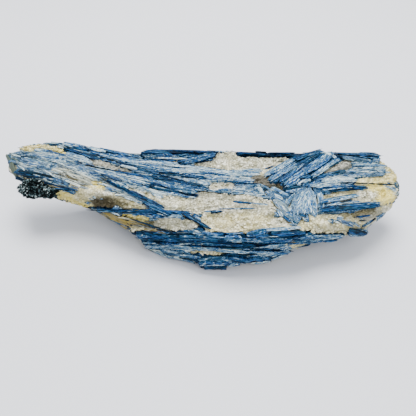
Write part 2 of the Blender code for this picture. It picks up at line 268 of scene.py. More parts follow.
def new_material(name):
    material = bpy.data.materials.new(name)
    material.use_nodes = True
    material.node_tree.nodes.clear()
    return material, Graph(material.node_tree)


def finish_surface(graph, inputs):
    shader = graph.add("ShaderNodeBsdfPrincipled", {}, inputs)
    graph.add("ShaderNodeOutputMaterial", {}, {"Surface": shader})


def finish_mineral(graph, colour, roughness, height, depth, strength, ior, specular):
    """Ends a mineral's material: its height in the bump runs over a depth in metres."""
    bump = graph.add("ShaderNodeBump", {}, {"Strength": strength, "Distance": depth, "Height": height})
    finish_surface(graph, {
        "Base Color": colour, "Roughness": roughness, "Normal": bump,
        "IOR": ior, "Specular IOR Level": specular,
    })


# --- the minerals ---

# Reflectances of kyanite from its deepest navy to its near-white rind, by tone.
DEEP_TO_PALE = [
    (0.0, (0.0006, 0.0040, 0.0080)),
    (0.08, (0.0006, 0.0090, 0.026)),
    (0.18, (0.0020, 0.0290, 0.076)),
    (0.32, (0.0075, 0.0590, 0.136)),
    (0.47, (0.0290, 0.1010, 0.206)),
    (0.62, (0.0680, 0.1650, 0.265)),
    (0.76, (0.1300, 0.2450, 0.335)),
    (0.88, (0.2700, 0.3900, 0.440)),
    (1.0, (0.5900, 0.6700, 0.650)),
]
BLUER = (0.7, 0.82, 1.14)
GREYER = (1.7, 1.08, 0.82)
SERICITE = (0.62, 0.62, 0.50, 1)
WEATHERED = (0.060, 0.090, 0.078, 1)
IRON_STAIN = (0.33, 0.25, 0.07, 1)


def kyanite_material():
    """Lengthwise streaks from deep blue to near white, with painted glints along them. Attribute grain is
    (along, across, depth) in mm, edge is 1 on a blade's two edges, low is 1 on its underside, where shade
    is painted, and tint holds the shares of grey-green weathering, yellow-brown stain and white rind."""
    material, graph = new_material("kyanite")
    grain = graph.vector("grain")
    own, edge, low = (graph.number(name) for name in ("tone", "edge", "low"))
    weathered, stained, rind = graph.parts(graph.vector("tint"))

    def streaks(along, across, detail=3.0, roughness=0.5):
        """Noise with so many features to the millimetre along the grain and across it."""
        return graph.noise(graph.stretched(grain, (along, across, across)), 1.0, detail, roughness)

    streak = streaks(0.06, 1.2, roughness=0.65)
    fine = streaks(0.22, 2.8, roughness=0.7)
    # painted highlight: thin white glints along the grain, made stronger on the darker blades
    painted_glint = streaks(0.50, 1.9, detail=2.0).over(0.57, 0.65)
    speck = streaks(0.65, 1.6, detail=2.0).over(0.59, 0.69)
    crack = 1 - (streaks(0.42, 0.12, roughness=0.7) - 0.5).size().over(0.004, 0.016)
    blotch = streaks(0.28, 1.1, detail=4.0, roughness=0.65)
    hue = streaks(0.04, 0.6, detail=2.0)

    lively = 1 - rind.clamped() * 0.5
    tone = own + ((streak.over(0.38, 0.62) - 0.5) * 0.40 + (fine.over(0.36, 0.64) - 0.5) * 0.60) * lively
    # painted highlight from the glints, then dark specks and cross cracks
    tone = tone + (painted_glint * 0.55 - speck * 0.5 - crack * 0.35) * own.over(-0.1, 0.45)
    # painted shade: low darkens the undersides of blades and splinters and the rock core between them
    tone = tone + edge * 0.12 - low * 0.5 * (1.15 - own).clamped()

    deep = 1 - tone.over(0.50, 0.82)
    white = blotch.over(0.56, 0.68) * streak.over(0.4, 0.6) * (own.over(0.3, 0.7) * 0.3 + rind)
    colour = graph.ramp(DEEP_TO_PALE, tone)
    colour = graph.blend(colour, graph.stretched(colour, BLUER), hue.over(0.47, 0.58) * deep)
    colour = graph.blend(colour, graph.stretched(colour, GREYER), (1 - hue.over(0.34, 0.46)) * deep)
    colour = graph.blend(colour, SERICITE, white.clamped())
    colour = graph.blend(colour, WEATHERED, (weathered * (0.5 + blotch)).clamped())
    colour = graph.blend(colour, IRON_STAIN, (stained * (0.4 + fine)).clamped())

    roughness = (0.36 + 0.22 * tone.clamped() + 0.3 * (fine - 0.5)).clamped()
    height = fine * 0.6 + streak * 0.8 + blotch * 0.25
    finish_mineral(graph, colour, roughness, height, depth=0.35 * MM, strength=0.7, ior=1.6, specular=0.03)
    return material


QUARTZ_WHITE = (0.88, 0.88, 0.75, 1)
QUARTZ_CREAM = (0.64, 0.62, 0.43, 1)
QUARTZ_SHADE = (0.34, 0.33, 0.22, 1)
QUARTZ_SPOT = (0.30, 0.25, 0.09, 1)
# painted shade in the pits of the lumpy bed
QUARTZ_PIT_SHADE = (0.32, 0.28, 0.14, 1)
AMBER_STAIN = (0.74, 0.61, 0.14, 1)
BROWN_STAIN = (0.042, 0.030, 0.004, 1)
GREY_STAIN = (0.175, 0.18, 0.17, 1)
SUGAR_CELLS = 620.0  # crystals of sugary quartz to the metre


def quartz_material():
    """White sugary quartz, with shade painted in its pits and between its crystals. Attribute tint holds the
    shares of amber, brown and grey, hollow is 1 in pits, and tone is how much a grain is darker than the
    rest."""
    material, graph = new_material("quartz")
    place = graph.place()
    hollow, dark = graph.number("hollow"), graph.number("tone")
    amber, brown, grey = graph.parts(graph.vector("tint"))

    cloud = graph.noise(place, 140.0, 3.0, 0.6)
    drift = graph.noise(place, 330.0, 3.0, 0.6)
    speck = graph.noise(place, 1100.0, 3.0, 0.7)
    spot = graph.noise(place, 430.0, 3.0, 0.65).over(0.59, 0.67)
    cells = {"Vector": place, "Scale": SUGAR_CELLS}
    facet, _, _ = graph.parts(graph.add("ShaderNodeTexVoronoi", {"feature": "F1"}, cells, output=1))
    seam = 1 - graph.add("ShaderNodeTexVoronoi", {"feature": "DISTANCE_TO_EDGE"}, cells).over(0.02, 0.16)
    patches = drift.over(0.35, 0.6)
    # painted shade: darker away from the middle of each sugary crystal and along the seams between them,
    # mixed with random specks and darker grains
    shade = speck.over(0.50, 0.70) * 0.4 + dark * 0.6 + facet.over(0.40, 1.0) * 0.6 + seam * patches * 0.8

    colour = graph.blend(QUARTZ_WHITE, QUARTZ_CREAM, cloud.over(0.42, 0.68))
    colour = graph.blend(colour, QUARTZ_SPOT, spot * 0.38)
    # painted shade in the pits where the bed sinks
    colour = graph.blend(colour, QUARTZ_PIT_SHADE, (hollow * patches).clamped())
    colour = graph.blend(colour, QUARTZ_SHADE, shade.clamped())
    colour = graph.blend(colour, AMBER_STAIN, (amber * (0.35 + drift)).clamped())
    colour = graph.blend(colour, BROWN_STAIN, (brown * (0.7 + drift)).clamped())
    colour = graph.blend(colour, GREY_STAIN, (grey * (0.4 + drift)).clamped())

    roughness = (0.42 + 0.3 * (speck - 0.5) + 0.15 * cloud).clamped()
    height = speck * 0.6 + drift * 0.6 + facet - seam
    finish_mineral(graph, colour, roughness, height, depth=0.45 * MM, strength=0.9, ior=1.54, specular=0.3)
    return material


# Reflectances of the dark mica by tone, from its black books to the painted glint of its flakes.
BLACK_TO_GLINT = [
    (0.0, (0.0002, 0.0004, 0.0005)),
    (0.35, (0.0014, 0.0034, 0.0040)),
    (0.55, (0.009, 0.021, 0.023)),
    (0.75, (0.085, 0.140, 0.155)),
    (1.0, (0.56, 0.63, 0.63)),
]


def mica_material():
    """Black mica with grey-green glints painted on its flakes. Attribute tone is how far each flake is
    painted towards a glint, and broad lump noise paints patches of sheen.
    """
    material, graph = new_material("dark_mica")
    place = graph.place()
    # lump: broad patches of painted sheen over the clump
    lump = graph.noise(place, 260.0, 2.0)
    speck = graph.noise(place, 800.0, 4.0, 0.7)
    tone = graph.number("tone") + (speck.over(0.3, 0.7) - 0.45) * 0.7 + (lump - 0.45) * 1.3
    colour = graph.ramp(BLACK_TO_GLINT, tone)
    roughness = (0.3 + 0.4 * speck).clamped()
    finish_mineral(graph, colour, roughness, speck, depth=0.3 * MM, strength=0.8, ior=1.58, specular=0.03)
    return material


# --- meshes ---


def merged(*nodes):
    """A copy of the solids' meshes, whole again, as one bmesh."""
    bm = bmesh.new()
    for node in nodes:
        bm.from_mesh(frame["nodes"][node].data)
    bmesh.ops.remove_doubles(bm, verts=bm.verts, dist=WELD)
    return bm


def mesh_from(bm, name="shape"):
    mesh = bpy.data.meshes.new(name)
    bm.to_mesh(mesh)
    bm.free()
    return mesh


@contextmanager
def edited(mesh):
    """The mesh as a bmesh, which is written back to it at the end."""
    bm = bmesh.new()
    bm.from_mesh(mesh)
    yield bm
    bm.to_mesh(mesh)
    bm.free()


def settled(obj):
    """The object's mesh with its modifiers applied. The object and its first mesh are removed."""
    graph = bpy.context.evaluated_depsgraph_get()
    whole = obj.evaluated_get(graph)
    mesh = bpy.data.meshes.new_from_object(whole, preserve_all_data_layers=True, depsgraph=graph)
    first = obj.data
    bpy.data.objects.remove(obj)
    bpy.data.meshes.remove(first)
    return mesh


def through_tree(name, mesh, tree, values):
    """The mesh after a Geometry Nodes tree, with the values set for its inputs of those names."""
    obj = link(name, mesh)
    step = obj.modifiers.new("tree", "NODES")
    step.node_group = tree
    for item in tree.interface.items_tree:
        if item.item_type == "SOCKET" and item.in_out == "INPUT" and item.name in values:
            step[item.identifier] = values[item.name]
    return settled(obj)


def remeshed(bm, voxel, softening=0):
    """An even mesh of small quads, softened so many times."""
    obj = link("remesh", mesh_from(bm))
    step = obj.modifiers.new("remesh", "REMESH")
    step.mode = "VOXEL"
    step.voxel_size = voxel
    mesh = settled(obj)
    axes = {"use_axis_x": True, "use_axis_y": True, "use_axis_z": True}
    if softening:
        with edited(mesh) as bm:
            for _ in range(softening):
                bmesh.ops.smooth_vert(bm, verts=bm.verts, factor=0.5, **axes)
    return mesh


def numbers(items, name):
    """A vector of each item of a mesh, as n × 3."""
    values = np.empty(len(items) * 3, dtype=np.float32)
    items.foreach_get(name, values)
    return values.reshape(-1, 3).astype(float)


def places_of(mesh):
    return numbers(mesh.vertices, "co")


def normals_of(mesh):
    return numbers(mesh.vertex_normals, "vector")


def move_to(mesh, places):
    mesh.vertices.foreach_set("co", np.ravel(places).astype(np.float32))
    mesh.update()


def store(mesh, name, kind, values):
    """Writes a point attribute: kind is FLOAT, INT, FLOAT_VECTOR or QUATERNION."""
    layer = mesh.attributes.new(name, kind, "POINT")
    layer.data.foreach_set("vector" if kind == "FLOAT_VECTOR" else "value", np.ravel(values))


# --- the smooth envelope round the solids ---


class Envelope:
    """The smooth surface round all the solids, on which blades, splinters and grains are laid."""

    VOXEL = 1.1 * MM
    SOFTENING = 2
    SPREADING = 3  # how many times each normal is averaged with its neighbours'
    BLADE_HEIGHT = 5 * MM  # what stands at most between the surface and the eye without hiding it
    STEP_INWARDS = 0.01

    def __init__(self, nodes):
        mesh = remeshed(merged(*nodes), self.VOXEL, self.SOFTENING)
        with edited(mesh) as bm:
            bmesh.ops.triangulate(bm, faces=bm.faces)
        self.points = places_of(mesh)
        self.corners = np.array([face.vertices[:] for face in mesh.polygons])
        self.tree = BVHTree.FromPolygons(self.points.tolist(), self.corners.tolist())
        normals = normals_of(mesh)
        for _ in range(self.SPREADING):
            spread = np.zeros_like(normals)
            for i in range(3):
                np.add.at(spread, self.corners[:, i], normals[self.corners].sum(axis=1))
            normals = spread / np.linalg.norm(spread, axis=1, keepdims=True)
        self.normals = normals
        bpy.data.meshes.remove(mesh)

    def nearest(self, point):
        """The nearest point of the surface, and its smooth outward direction."""
        place, _, face, _ = self.tree.find_nearest(point)
        return place, self.normal(face)

    def normal(self, face):
        return Vector(self.normals[self.corners[face]].sum(axis=0)).normalized()

    def under(self, x, y):
        """The surface seen at a place in the main view, or just inside the outline where the place is beside
        it."""
        for _ in range(60):
            place, *_ = self.tree.ray_cast(EYE, view_ray(x, y))
            if place:
                return place
            x += (STONE_MIDDLE[0] - x) * self.STEP_INWARDS
            y += (STONE_MIDDLE[1] - y) * self.STEP_INWARDS
        raise ValueError("no surface there")

    def gap(self, point, way, reach):
        """How far the surface is from a point in one direction, or None where that is past the reach."""
        return self.tree.ray_cast(Vector(point), Vector(way), reach)[3]

    def shown(self, point):
        """Whether the main view sees the surface at a point, give or take the height of a blade."""
        way = Vector(point) - EYE
        place, _, _, distance = self.tree.ray_cast(EYE, way.normalized())
        return place is None or distance > way.length - self.BLADE_HEIGHT

    def all_shown(self, points):
        return np.array([self.shown(point) for point in points])

    def scattered(self, count, rng):
        """Points spread evenly over the surface, with their faces."""
        a, b, c = (self.points[self.corners[:, i]] for i in range(3))
        areas = np.linalg.norm(np.cross(b - a, c - a), axis=1)
        faces = rng.choice(len(areas), size=count, p=areas / areas.sum())
        u, v = rng.random(count), rng.random(count)
        flip = u + v > 1
        u[flip], v[flip] = 1 - u[flip], 1 - v[flip]
        u, v = u[:, None], v[:, None]
        return a[faces] + (b - a)[faces] * u + (c - a)[faces] * v, faces


# --- the grain of the kyanite ---

# Lines that the splinters follow, as start and end in the main view, then tone (0 deep blue, 1 white), how
# far tones spread about it, how far splinters swing off the line in degrees, and their usual length and
# width in mm.
SEEN_LAYS = [
    # the left arm
    ((8, 156), (13, 171), 0.58, 0.50, 40, 3, 1.5),
    ((17, 176), (22, 188), 0.44, 0.50, 30, 3, 1.5),
    ((24, 179), (46, 182), 0.40, 0.50, 24, 4, 1.2),
    ((18, 153), (60, 160), 0.67, 0.26, 7, 11, 1.0),
    ((16, 162), (60, 175), 0.65, 0.28, 6, 12, 0.9),
    ((40, 177), (66, 186), 0.56, 0.28, 7, 11, 0.9),
    ((38, 141), (66, 146), 0.60, 0.25, 6, 8, 1.0),
    ((38, 183), (80, 193), 0.48, 0.32, 7, 12, 1.0),
    ((60, 170), (88, 182), 0.78, 0.22, 8, 8, 0.8),
    ((64, 162), (100, 172), 0.63, 0.28, 6, 12, 0.9),
    ((60, 150), (92, 159), 0.55, 0.30, 6, 14, 1.1),
    ((112, 184), (156, 197), 0.90, 0.24, 6, 10, 0.9),
    # the long sweep
    ((62, 146), (142, 162), 0.40, 0.32, 4, 14, 1.3),
    ((90, 158), (200, 176), 0.64, 0.32, 3, 22, 1.1),
    ((104, 172), (199, 190), 0.54, 0.32, 3, 22, 1.1),
    ((134, 181), (196, 196), 0.46, 0.30, 3, 18, 1.1),
    ((180, 172), (262, 176), 0.50, 0.26, 4, 16, 1.0),
    ((190, 184), (262, 186), 0.52, 0.26, 5, 14, 1.0),
    ((205, 192), (262, 196), 0.46, 0.30, 6, 12, 1.0),
    ((142, 158), (215, 165), 0.50, 0.30, 4, 16, 1.2),
    # the rear ledge
    ((142, 151), (214, 153), 0.12, 0.20, 2, 14, 1.6),
    ((214, 153), (296, 154), 0.12, 0.20, 2, 14, 1.2),
    ((336, 154), (380, 157), 0.20, 0.20, 3, 14, 1.2),
    # the crossing
    ((262, 180), (296, 158), 0.54, 0.28, 5, 12, 1.2),
    ((284, 190), (326, 158), 0.42, 0.30, 4, 14, 1.3),
    ((298, 160), (324, 149), 0.26, 0.25, 5, 12, 1.5),
    ((312, 178), (345, 158), 0.45, 0.30, 6, 12, 1.0),
    # the tangle in front of it
    ((262, 190), (276, 216), 0.70, 0.14, 14, 7, 1.6),
    ((283, 186), (300, 192), 0.58, 0.18, 14, 7, 1.5),
    ((292, 214), (304, 192), 0.70, 0.12, 8, 8, 1.9),
    ((311, 193), (316, 222), 0.63, 0.12, 4, 9, 1.6),
    ((278, 205), (300, 224), 0.64, 0.18, 15, 6, 1.4),
    # the fan
    ((312, 180), (345, 168), 0.40, 0.30, 5, 12, 1.1),
    ((340, 162), (385, 160), 0.58, 0.26, 9, 8, 1.0),
    ((345, 172), (392, 172), 0.68, 0.26, 7, 9, 1.0),
    ((322, 182), (392, 185), 0.64, 0.26, 6, 10, 1.0),
    ((325, 192), (366, 188), 0.50, 0.35, 5, 12, 1.0),
    ((320, 200), (357, 196), 0.56, 0.30, 4, 12, 1.0),
    # the right end
    ((388, 184), (400, 190), 0.64, 0.22, 25, 4, 0.9),
    ((384, 205), (399, 202), 0.30, 0.30, 15, 6, 1.0),
    ((340, 222), (366, 234), 0.66, 0.25, 18, 5, 0.9),
    # the lower left edge
    ((88, 208), (190, 214), 0.35, 0.30, 4, 14, 1.0),
    ((108, 212), (152, 224), 0.40, 0.35, 6, 10, 0.9),
    ((150, 216), (212, 231), 0.45, 0.30, 8, 10, 1.0),
    # the front ledge
    ((130, 234), (242, 240), 0.26, 0.26, 2, 26, 1.4),
    ((240, 241), (306, 233), 0.34, 0.25, 3, 18, 1.5),
    ((302, 238), (345, 234), 0.50, 0.30, 4, 14, 1.1),
    ((143, 247), (204, 266), 0.52, 0.95, 24, 4, 1.0),
    ((165, 250), (290, 250), 0.70, 0.45, 3, 16, 1.0),
    ((195, 262), (232, 262), 0.54, 0.35, 8, 10, 1.1),
    ((228, 260), (270, 257), 0.42, 0.40, 6, 12, 1.2),
    ((200, 270), (226, 268), 0.20, 0.20, 8, 8, 1.3),
]
# The same for the sides that the main view doesn't see, with start and end in mm.
HIDDEN_LAYS = [
    ((-114, 31, 32), (-60, 36, 26), 0.50, 0.35, 6, 14, 1.3),
    ((-70, 37, 34), (10, 36, 30), 0.35, 0.35, 4, 24, 1.8),
    ((-60, 36, 20), (10, 35, 16), 0.45, 0.35, 5, 22, 1.8),
    ((0, 35, 30), (60, 35, 32), 0.30, 0.30, 4, 22, 1.8),
    ((10, 34, 18), (70, 32, 22), 0.50, 0.35, 5, 20, 1.6),
    ((60, 34, 32), (108, 30, 30), 0.50, 0.35, 8, 14, 1.3),
    ((70, 31, 16), (106, 25, 22), 0.55, 0.35, 8, 14, 1.3),
    ((-110, 24, 18), (-50, 17, 3), 0.50, 0.35, 6, 14, 1.4),
    ((-106, 14, 18), (-52, 2, 9), 0.45, 0.35, 6, 14, 1.3),
    ((62, 10, 2), (108, 14, 16), 0.55, 0.35, 8, 12, 1.3),
    ((54, -14, 4), (104, -2, 14), 0.45, 0.35, 6, 12, 1.3),
    ((-36, -10, 2), (4, -28, 3), 0.35, 0.30, 5, 14, 1.5),
    ((4, -28, 3), (52, -16, 4), 0.35, 0.30, 5, 14, 1.5),
]

# Blades that stand out on their own: start and end in the main view, width in mm, tone, lift in mm, and
# roll in degrees.
SEEN_BLADES = [
    # the front ledge
    ((135, 237), (172, 238), 4.6, 0.16, 0.9, -8),
    ((166, 238), (206, 239), 4.4, 0.12, 1.0, -6),
    ((200, 239), (228, 240), 3.4, 0.16, 1.1, -4),
    ((137, 234), (152, 236), 2.0, 0.42, 1.3, 0),
    ((182, 235), (225, 237), 1.4, 0.36, 1.3, 0),
    ((180, 241), (240, 243), 1.4, 0.02, 1.2, 0),
    ((225, 238), (242, 239), 3.8, 0.38, 1.1, 0),
    ((141, 243), (160, 244), 0.5, 0.74, 1.0, 0),
    ((172, 244), (192, 243), 0.7, 0.82, 1.0, 0),
    ((242, 240), (291, 240), 3.0, 0.32, 0.9, 4),
    ((260, 237), (286, 236), 0.5, 0.40, 0.8, 0),
    ((271, 234), (304, 233), 2.6, 0.08, 1.2, -6),
    ((247, 235), (270, 230), 3.4, 0.32, 0.28, 0),
    ((266, 230), (300, 228), 2.2, 0.64, 0.8, 0),
    ((191, 245), (224, 246), 1.2, 0.04, 1.2, 4),
    ((221, 246), (257, 248), 1.3, 0.02, 1.2, 4),
    ((254, 248), (292, 251), 1.4, 0.04, 1.2, 4),
    ((146, 246), (190, 247), 2.6, 0.50, 0.8, 0),
    ((190, 248), (222, 249), 1.9, 0.58, 1.3, 0),
    ((218, 249), (252, 251), 1.8, 0.62, 1.4, 0),
    ((249, 251), (288, 254), 1.7, 0.60, 1.3, 0),
    ((176, 255), (200, 257), 2.0, 0.50, 0.7, 8),
    ((199, 261), (231, 260), 4.8, 0.28, 1.2, -6),
    ((222, 257), (231, 261), 2.0, 0.50, 1.0, 0),
    ((205, 265), (224, 264), 0.7, 0.80, 1.2, 0),
    ((205, 267), (226, 267), 2.8, 0.14, 0.9, 0),
    ((229, 253), (250, 254), 1.2, -0.10, 0.9, 0),
    ((228, 257), (248, 261), 3.6, 0.18, 1.0, 8),
    ((246, 260), (268, 258), 2.8, 0.26, 1.0, 0),
    ((256, 254), (280, 252), 0.9, 0.80, 0.8, 0),
    ((300, 238), (342, 236), 2.6, 0.44, 0.9, 0),
    ((288, 244), (322, 242), 2.0, 0.40, 0.6, 0),
    # the rear ledge
    ((143, 151), (182, 152), 3.6, 0.08, 0.9, 0),
    ((166, 151), (213, 153), 3.4, 0.06, 1.1, -4),
    ((150, 160), (176, 161), 1.6, 0.18, 0.6, 0),
    ((157, 158), (186, 159), 1.0, 0.95, 0.9, 0),
    ((146, 149), (156, 148), 1.6, 0.30, 0.8, 0),
    ((181, 163), (214, 155), 3.4, 0.30, 1.0, -6),
    ((238, 153), (266, 155), 1.6, 0.06, 0.9, 0),
    ((268, 154), (296, 153), 1.6, 0.02, 0.9, 0),
    ((337, 154), (381, 156), 1.8, 0.14, 0.8, 0),
    # the crossing
    ((297, 166), (323, 152), 3.6, 0.20, 1.0, -8),
    ((303, 174), (332, 154), 6.8, 0.35, 1.5, 0),
    ((312, 177), (338, 160), 3.0, 0.58, 1.0, 6),
    ((294, 160), (324, 150), 4.6, 0.12, 1.4, 0),
    ((310, 151), (334, 150), 2.4, 0.50, 0.7, 0),
    ((327, 153), (336, 159), 2.6, 0.84, 0.9, 0),
    ((265, 176), (293, 160), 5.4, 0.54, 1.2, 6),
    ((270, 180), (297, 164), 3.6, 0.42, 0.9, 0),
    ((281, 181), (303, 164), 3.2, 0.30, 0.8, -6),
    ((286, 186), (307, 171), 5.2, 0.46, 1.1, 0),
    ((263, 170), (274, 166), 1.0, 0.04, 0.8, 0),
    ((280, 182), (292, 167), 0.9, 0.04, 0.9, 0),
    ((316, 174), (342, 161), 1.1, 0.02, 0.7, 0),
    ((295, 180), (310, 176), 2.4, 0.14, 0.8, 0),
    ((283, 189), (301, 186), 1.4, 0.06, 0.8, 0),
    ((291, 212), (305, 192), 5.0, 0.66, 0.25, 6),
    ((303, 213), (309, 191), 4.6, 0.66, 0.28, -4),
    ((313, 191), (315, 216), 4.2, 0.66, 0.28, 4),
    ((320, 192), (322, 213), 3.6, 0.68, 0.2, 0),
    ((266, 192), (282, 200), 3.4, 0.66, 0.25, 0),
    ((272, 188), (288, 196), 3.0, 0.63, 0.25, 0),
    ((274, 199), (288, 212), 4.0, 0.66, 0.25, 0),
    ((286, 191), (302, 189), 2.4, 0.60, 0.28, 0),
    ((286, 214), (300, 221), 3.6, 0.56, 0.2, 0),
    ((284, 216), (290, 222), 1.4, 0.20, 0.8, 0),
    ((299, 214), (306, 217), 1.3, 0.16, 0.9, 0),
    ((291, 206), (294, 209), 1.2, 0.24, 0.8, 0),
    # the fan
    ((313, 179), (346, 171), 3.0, 0.22, 0.8, 0),
    ((343, 158), (370, 161), 2.6, 0.40, 0.8, 0),
    ((352, 166), (392, 166), 2.2, 0.62, 0.7, 0),
    ((346, 174), (390, 175), 2.0, 0.60, 0.8, 0),
    ((341, 184), (393, 186), 0.8, -0.1, 1.6, 0),
    ((330, 191), (367, 188), 1.6, 0.12, 0.8, 0),
    ((320, 204), (358, 197), 2.8, 0.60, 0.9, 10),
    ((322, 201), (357, 195), 1.2, 0.24, 1.2, 10),
    ((321, 211), (380, 205), 4.2, 0.12, 1.0, -6),
    ((335, 209), (351, 208), 1.8, -0.1, 1.3, 0),
    ((349, 230), (366, 234), 3.6, 0.06, 0.9, 0),
    ((337, 218), (352, 225), 3.6, 0.60, 0.5, 0),
    ((340, 221), (353, 227), 1.2, 0.30, 0.9, 0),
    ((352, 222), (360, 227), 1.4, 0.70, 0.8, 0),
    ((354, 217), (370, 215), 1.3, 0.12, 0.9, 0),
    ((356, 221), (366, 220), 0.8, -0.1, 0.8, 0),
    ((362, 226), (373, 220), 2.4, 0.34, 0.8, 0),
    ((369, 222), (375, 218), 1.6, -0.1, 0.9, 0),
    ((385, 204), (398, 201), 1.8, 0.12, 0.7, 0),
    # forked over the quartz, and the slivers
    ((105, 175), (121, 181), 1.7, 0.30, 1.4, 0),
    ((108, 181), (140, 198), 1.8, 0.12, 1.5, 0),
    ((130, 193), (163, 210), 2.5, 0.10, 1.6, 0),
    ((144, 203), (169, 214), 2.2, 0.16, 1.0, 0),
    ((100, 210), (150, 212), 1.9, 0.22, 0.8, 0),
    ((140, 211), (192, 214), 1.9, 0.16, 0.9, 0),
    ((182, 213), (210, 230), 2.4, 0.10, 1.2, 0),
    ((234, 202), (252, 204), 1.4, 0.14, 1.5, 0),
    ((250, 204), (268, 206), 0.9, 0.60, 1.3, 0),
    ((205, 212), (222, 211), 1.0, 0.44, 1.3, 0),
    ((218, 211), (256, 210), 1.0, 0.28, 1.5, 0),
    ((108, 219), (133, 226), 1.2, 0.08, 0.9, 0),
    ((118, 216), (142, 221), 1.2, 0.62, 0.9, 0),
    ((132, 219), (176, 234), 1.0, -0.05, 0.9, 0),
    ((151, 186), (155, 187), 1.3, -0.2, 1.0, 0),
    # in the left arm and the sweep
    ((85, 166), (143, 177), 0.8, -0.2, 0.9, 0),
    ((74, 152), (106, 158), 0.9, -0.1, 0.8, 0),
    ((104, 158), (150, 172), 1.0, -0.1, 0.8, 0),
    ((148, 172), (200, 186), 0.8, -0.1, 0.8, 0),
    ((19, 171), (36, 174), 1.3, -0.2, 0.8, 0),
    ((26, 172), (52, 177), 1.4, -0.2, 0.9, 0),
    ((8, 159), (11, 169), 3.0, 0.50, 0.5, 0),
    ((12, 163), (17, 176), 3.8, 0.40, 1.5, 0),
    ((7, 155), (12, 164), 2.4, 0.34, 1.0, 0),
    ((23, 175), (42, 178), 1.2, -0.15, 0.8, 0),
    ((40, 175), (60, 180), 0.9, -0.1, 0.8, 0),
    ((24, 159), (54, 165), 3.2, 0.52, 0.9, 0),
    ((27, 164), (50, 168), 2.6, 0.54, 1.0, 0),
    ((38, 168), (50, 170), 1.4, 0.20, 1.1, 0),
    ((47, 185), (55, 189), 1.8, 0.55, 0.9, 0),
    ((103, 175), (121, 180), 1.5, 0.24, 1.5, 0),
    ((64, 159), (77, 162), 1.4, 0.38, 0.9, 0),
    ((75, 162), (94, 166), 1.1, 0.40, 0.9, 0),
    ((66, 181), (81, 187), 1.5, 0.98, 0.9, 0),
    ((56, 180), (69, 185), 1.8, 0.34, 0.7, 0),
    ((55, 188), (71, 190), 1.2, 0.10, 0.8, 0),
    ((80, 187), (93, 191), 1.5, 0.62, 0.9, 0),
    ((37, 141), (62, 144), 1.4, 0.66, 0.8, 0),
    ((66, 149), (96, 159), 2.0, 0.10, 0.7, 0),
    ((43, 182), (76, 191), 1.0, -0.1, 0.7, 0),
    ((89, 208), (139, 211), 0.8, -0.1, 0.8, 0),
    # pale white-blue kyanite at the top of the arm, with a painted glint in its near-white tone
    ((88, 148), (105, 152), 2.4, 0.84, 0.9, 0),
    ((100, 149), (142, 158), 2.6, 0.30, 0.8, 0),
    ((118, 172), (200, 186), 1.8, 0.12, 0.7, 0),
    ((152, 188), (198, 196), 1.8, 0.08, 0.7, 0),
    ((140, 170), (205, 178), 1.5, 0.22, 0.7, 0),
]

# Where the quartz shows: ends of a rounded bar in the main view, its radius there, and its kind.
SEEN_QUARTZ = [
    ((220, 163), (284, 162), 7.4, "white"),
    ((219, 153), (236, 153), 3.0, "white"),
    ((196, 166), (216, 164), 2.5, "white"),
    ((168, 204), (205, 206), 8.5, "white"),
    ((205, 200), (266, 208), 10.0, "white"),
    ((212, 222), (262, 222), 11.0, "cream"),
    ((262, 226), (282, 222), 6.0, "white"),
    ((212, 187), (230, 187), 3.5, "white"),
    ((160, 224), (190, 224), 6.5, "white"),
    ((148, 196), (160, 205), 3.5, "white"),
    ((96, 203), (112, 203), 5.5, "brown"),
    ((110, 200), (126, 204), 5.6, "sand"),
    ((60, 194), (72, 198), 4.5, "amber"),
    ((78, 198), (92, 191), 6.0, "cream"),
    ((94, 184), (102, 187), 3.0, "amber"),
    ((97, 193), (112, 195), 3.5, "white"),
    ((130, 189), (146, 193), 1.8, "white"),
    ((126, 205), (142, 206), 3.5, "cream"),
    ((20, 148), (36, 147), 2.6, "honey"),
    ((40, 146), (56, 148), 3.4, "honey"),
    ((54, 148), (64, 153), 2.2, "amber"),
    ((93, 161), (130, 171), 3.0, "grey"),
    ((82, 156), (102, 160), 1.6, "grey"),
    ((62, 198), (90, 208), 4.0, "amber"),
    ((131, 229), (140, 230), 3.5, "cream"),
    ((329, 168), (347, 164), 5.8, "grey"),
    ((257, 180), (273, 184), 4.6, "umber"),
    ((279, 184), (281, 187), 3.0, "brown"),
    ((384, 158), (392, 176), 4.5, "honey"),
    ((360, 182), (394, 178), 4.5, "honey"),
    ((374, 187), (387, 198), 8.0, "amber"),
    ((360, 196), (376, 194), 6.5, "white"),
    ((328, 198), (354, 192), 3.8, "cream"),
    ((381, 207), (389, 209), 4.0, "white"),
    ((312, 216), (340, 216), 3.5, "cream"),
    ((342, 216), (374, 213), 3.4, "sand"),
    ((352, 222), (362, 226), 4.0, "cream"),
    ((366, 219), (378, 212), 3.0, "grey"),
    ((306, 227), (346, 230), 6.5, "cream"),
    ((192, 253), (226, 253), 2.6, "cream"),
    ((294, 248), (308, 246), 2.5, "cream"),
    ((122, 216), (146, 219), 2.5, "amber"),
]
STAINS = {  # the shares of amber, brown and grey
    "white": (0.0, 0.0, 0.0),
    "cream": (0.25, 0.0, 0.0),
    "honey": (0.6, 0.0, 0.0),
    "amber": (1.0, 0.0, 0.0),
    "brown": (0.2, 1.0, 0.1),
    "sand": (0.3, 0.6, 0.0),
    "grey": (0.0, 0.05, 0.7),
    "umber": (0.1, 1.0, 0.35),
}

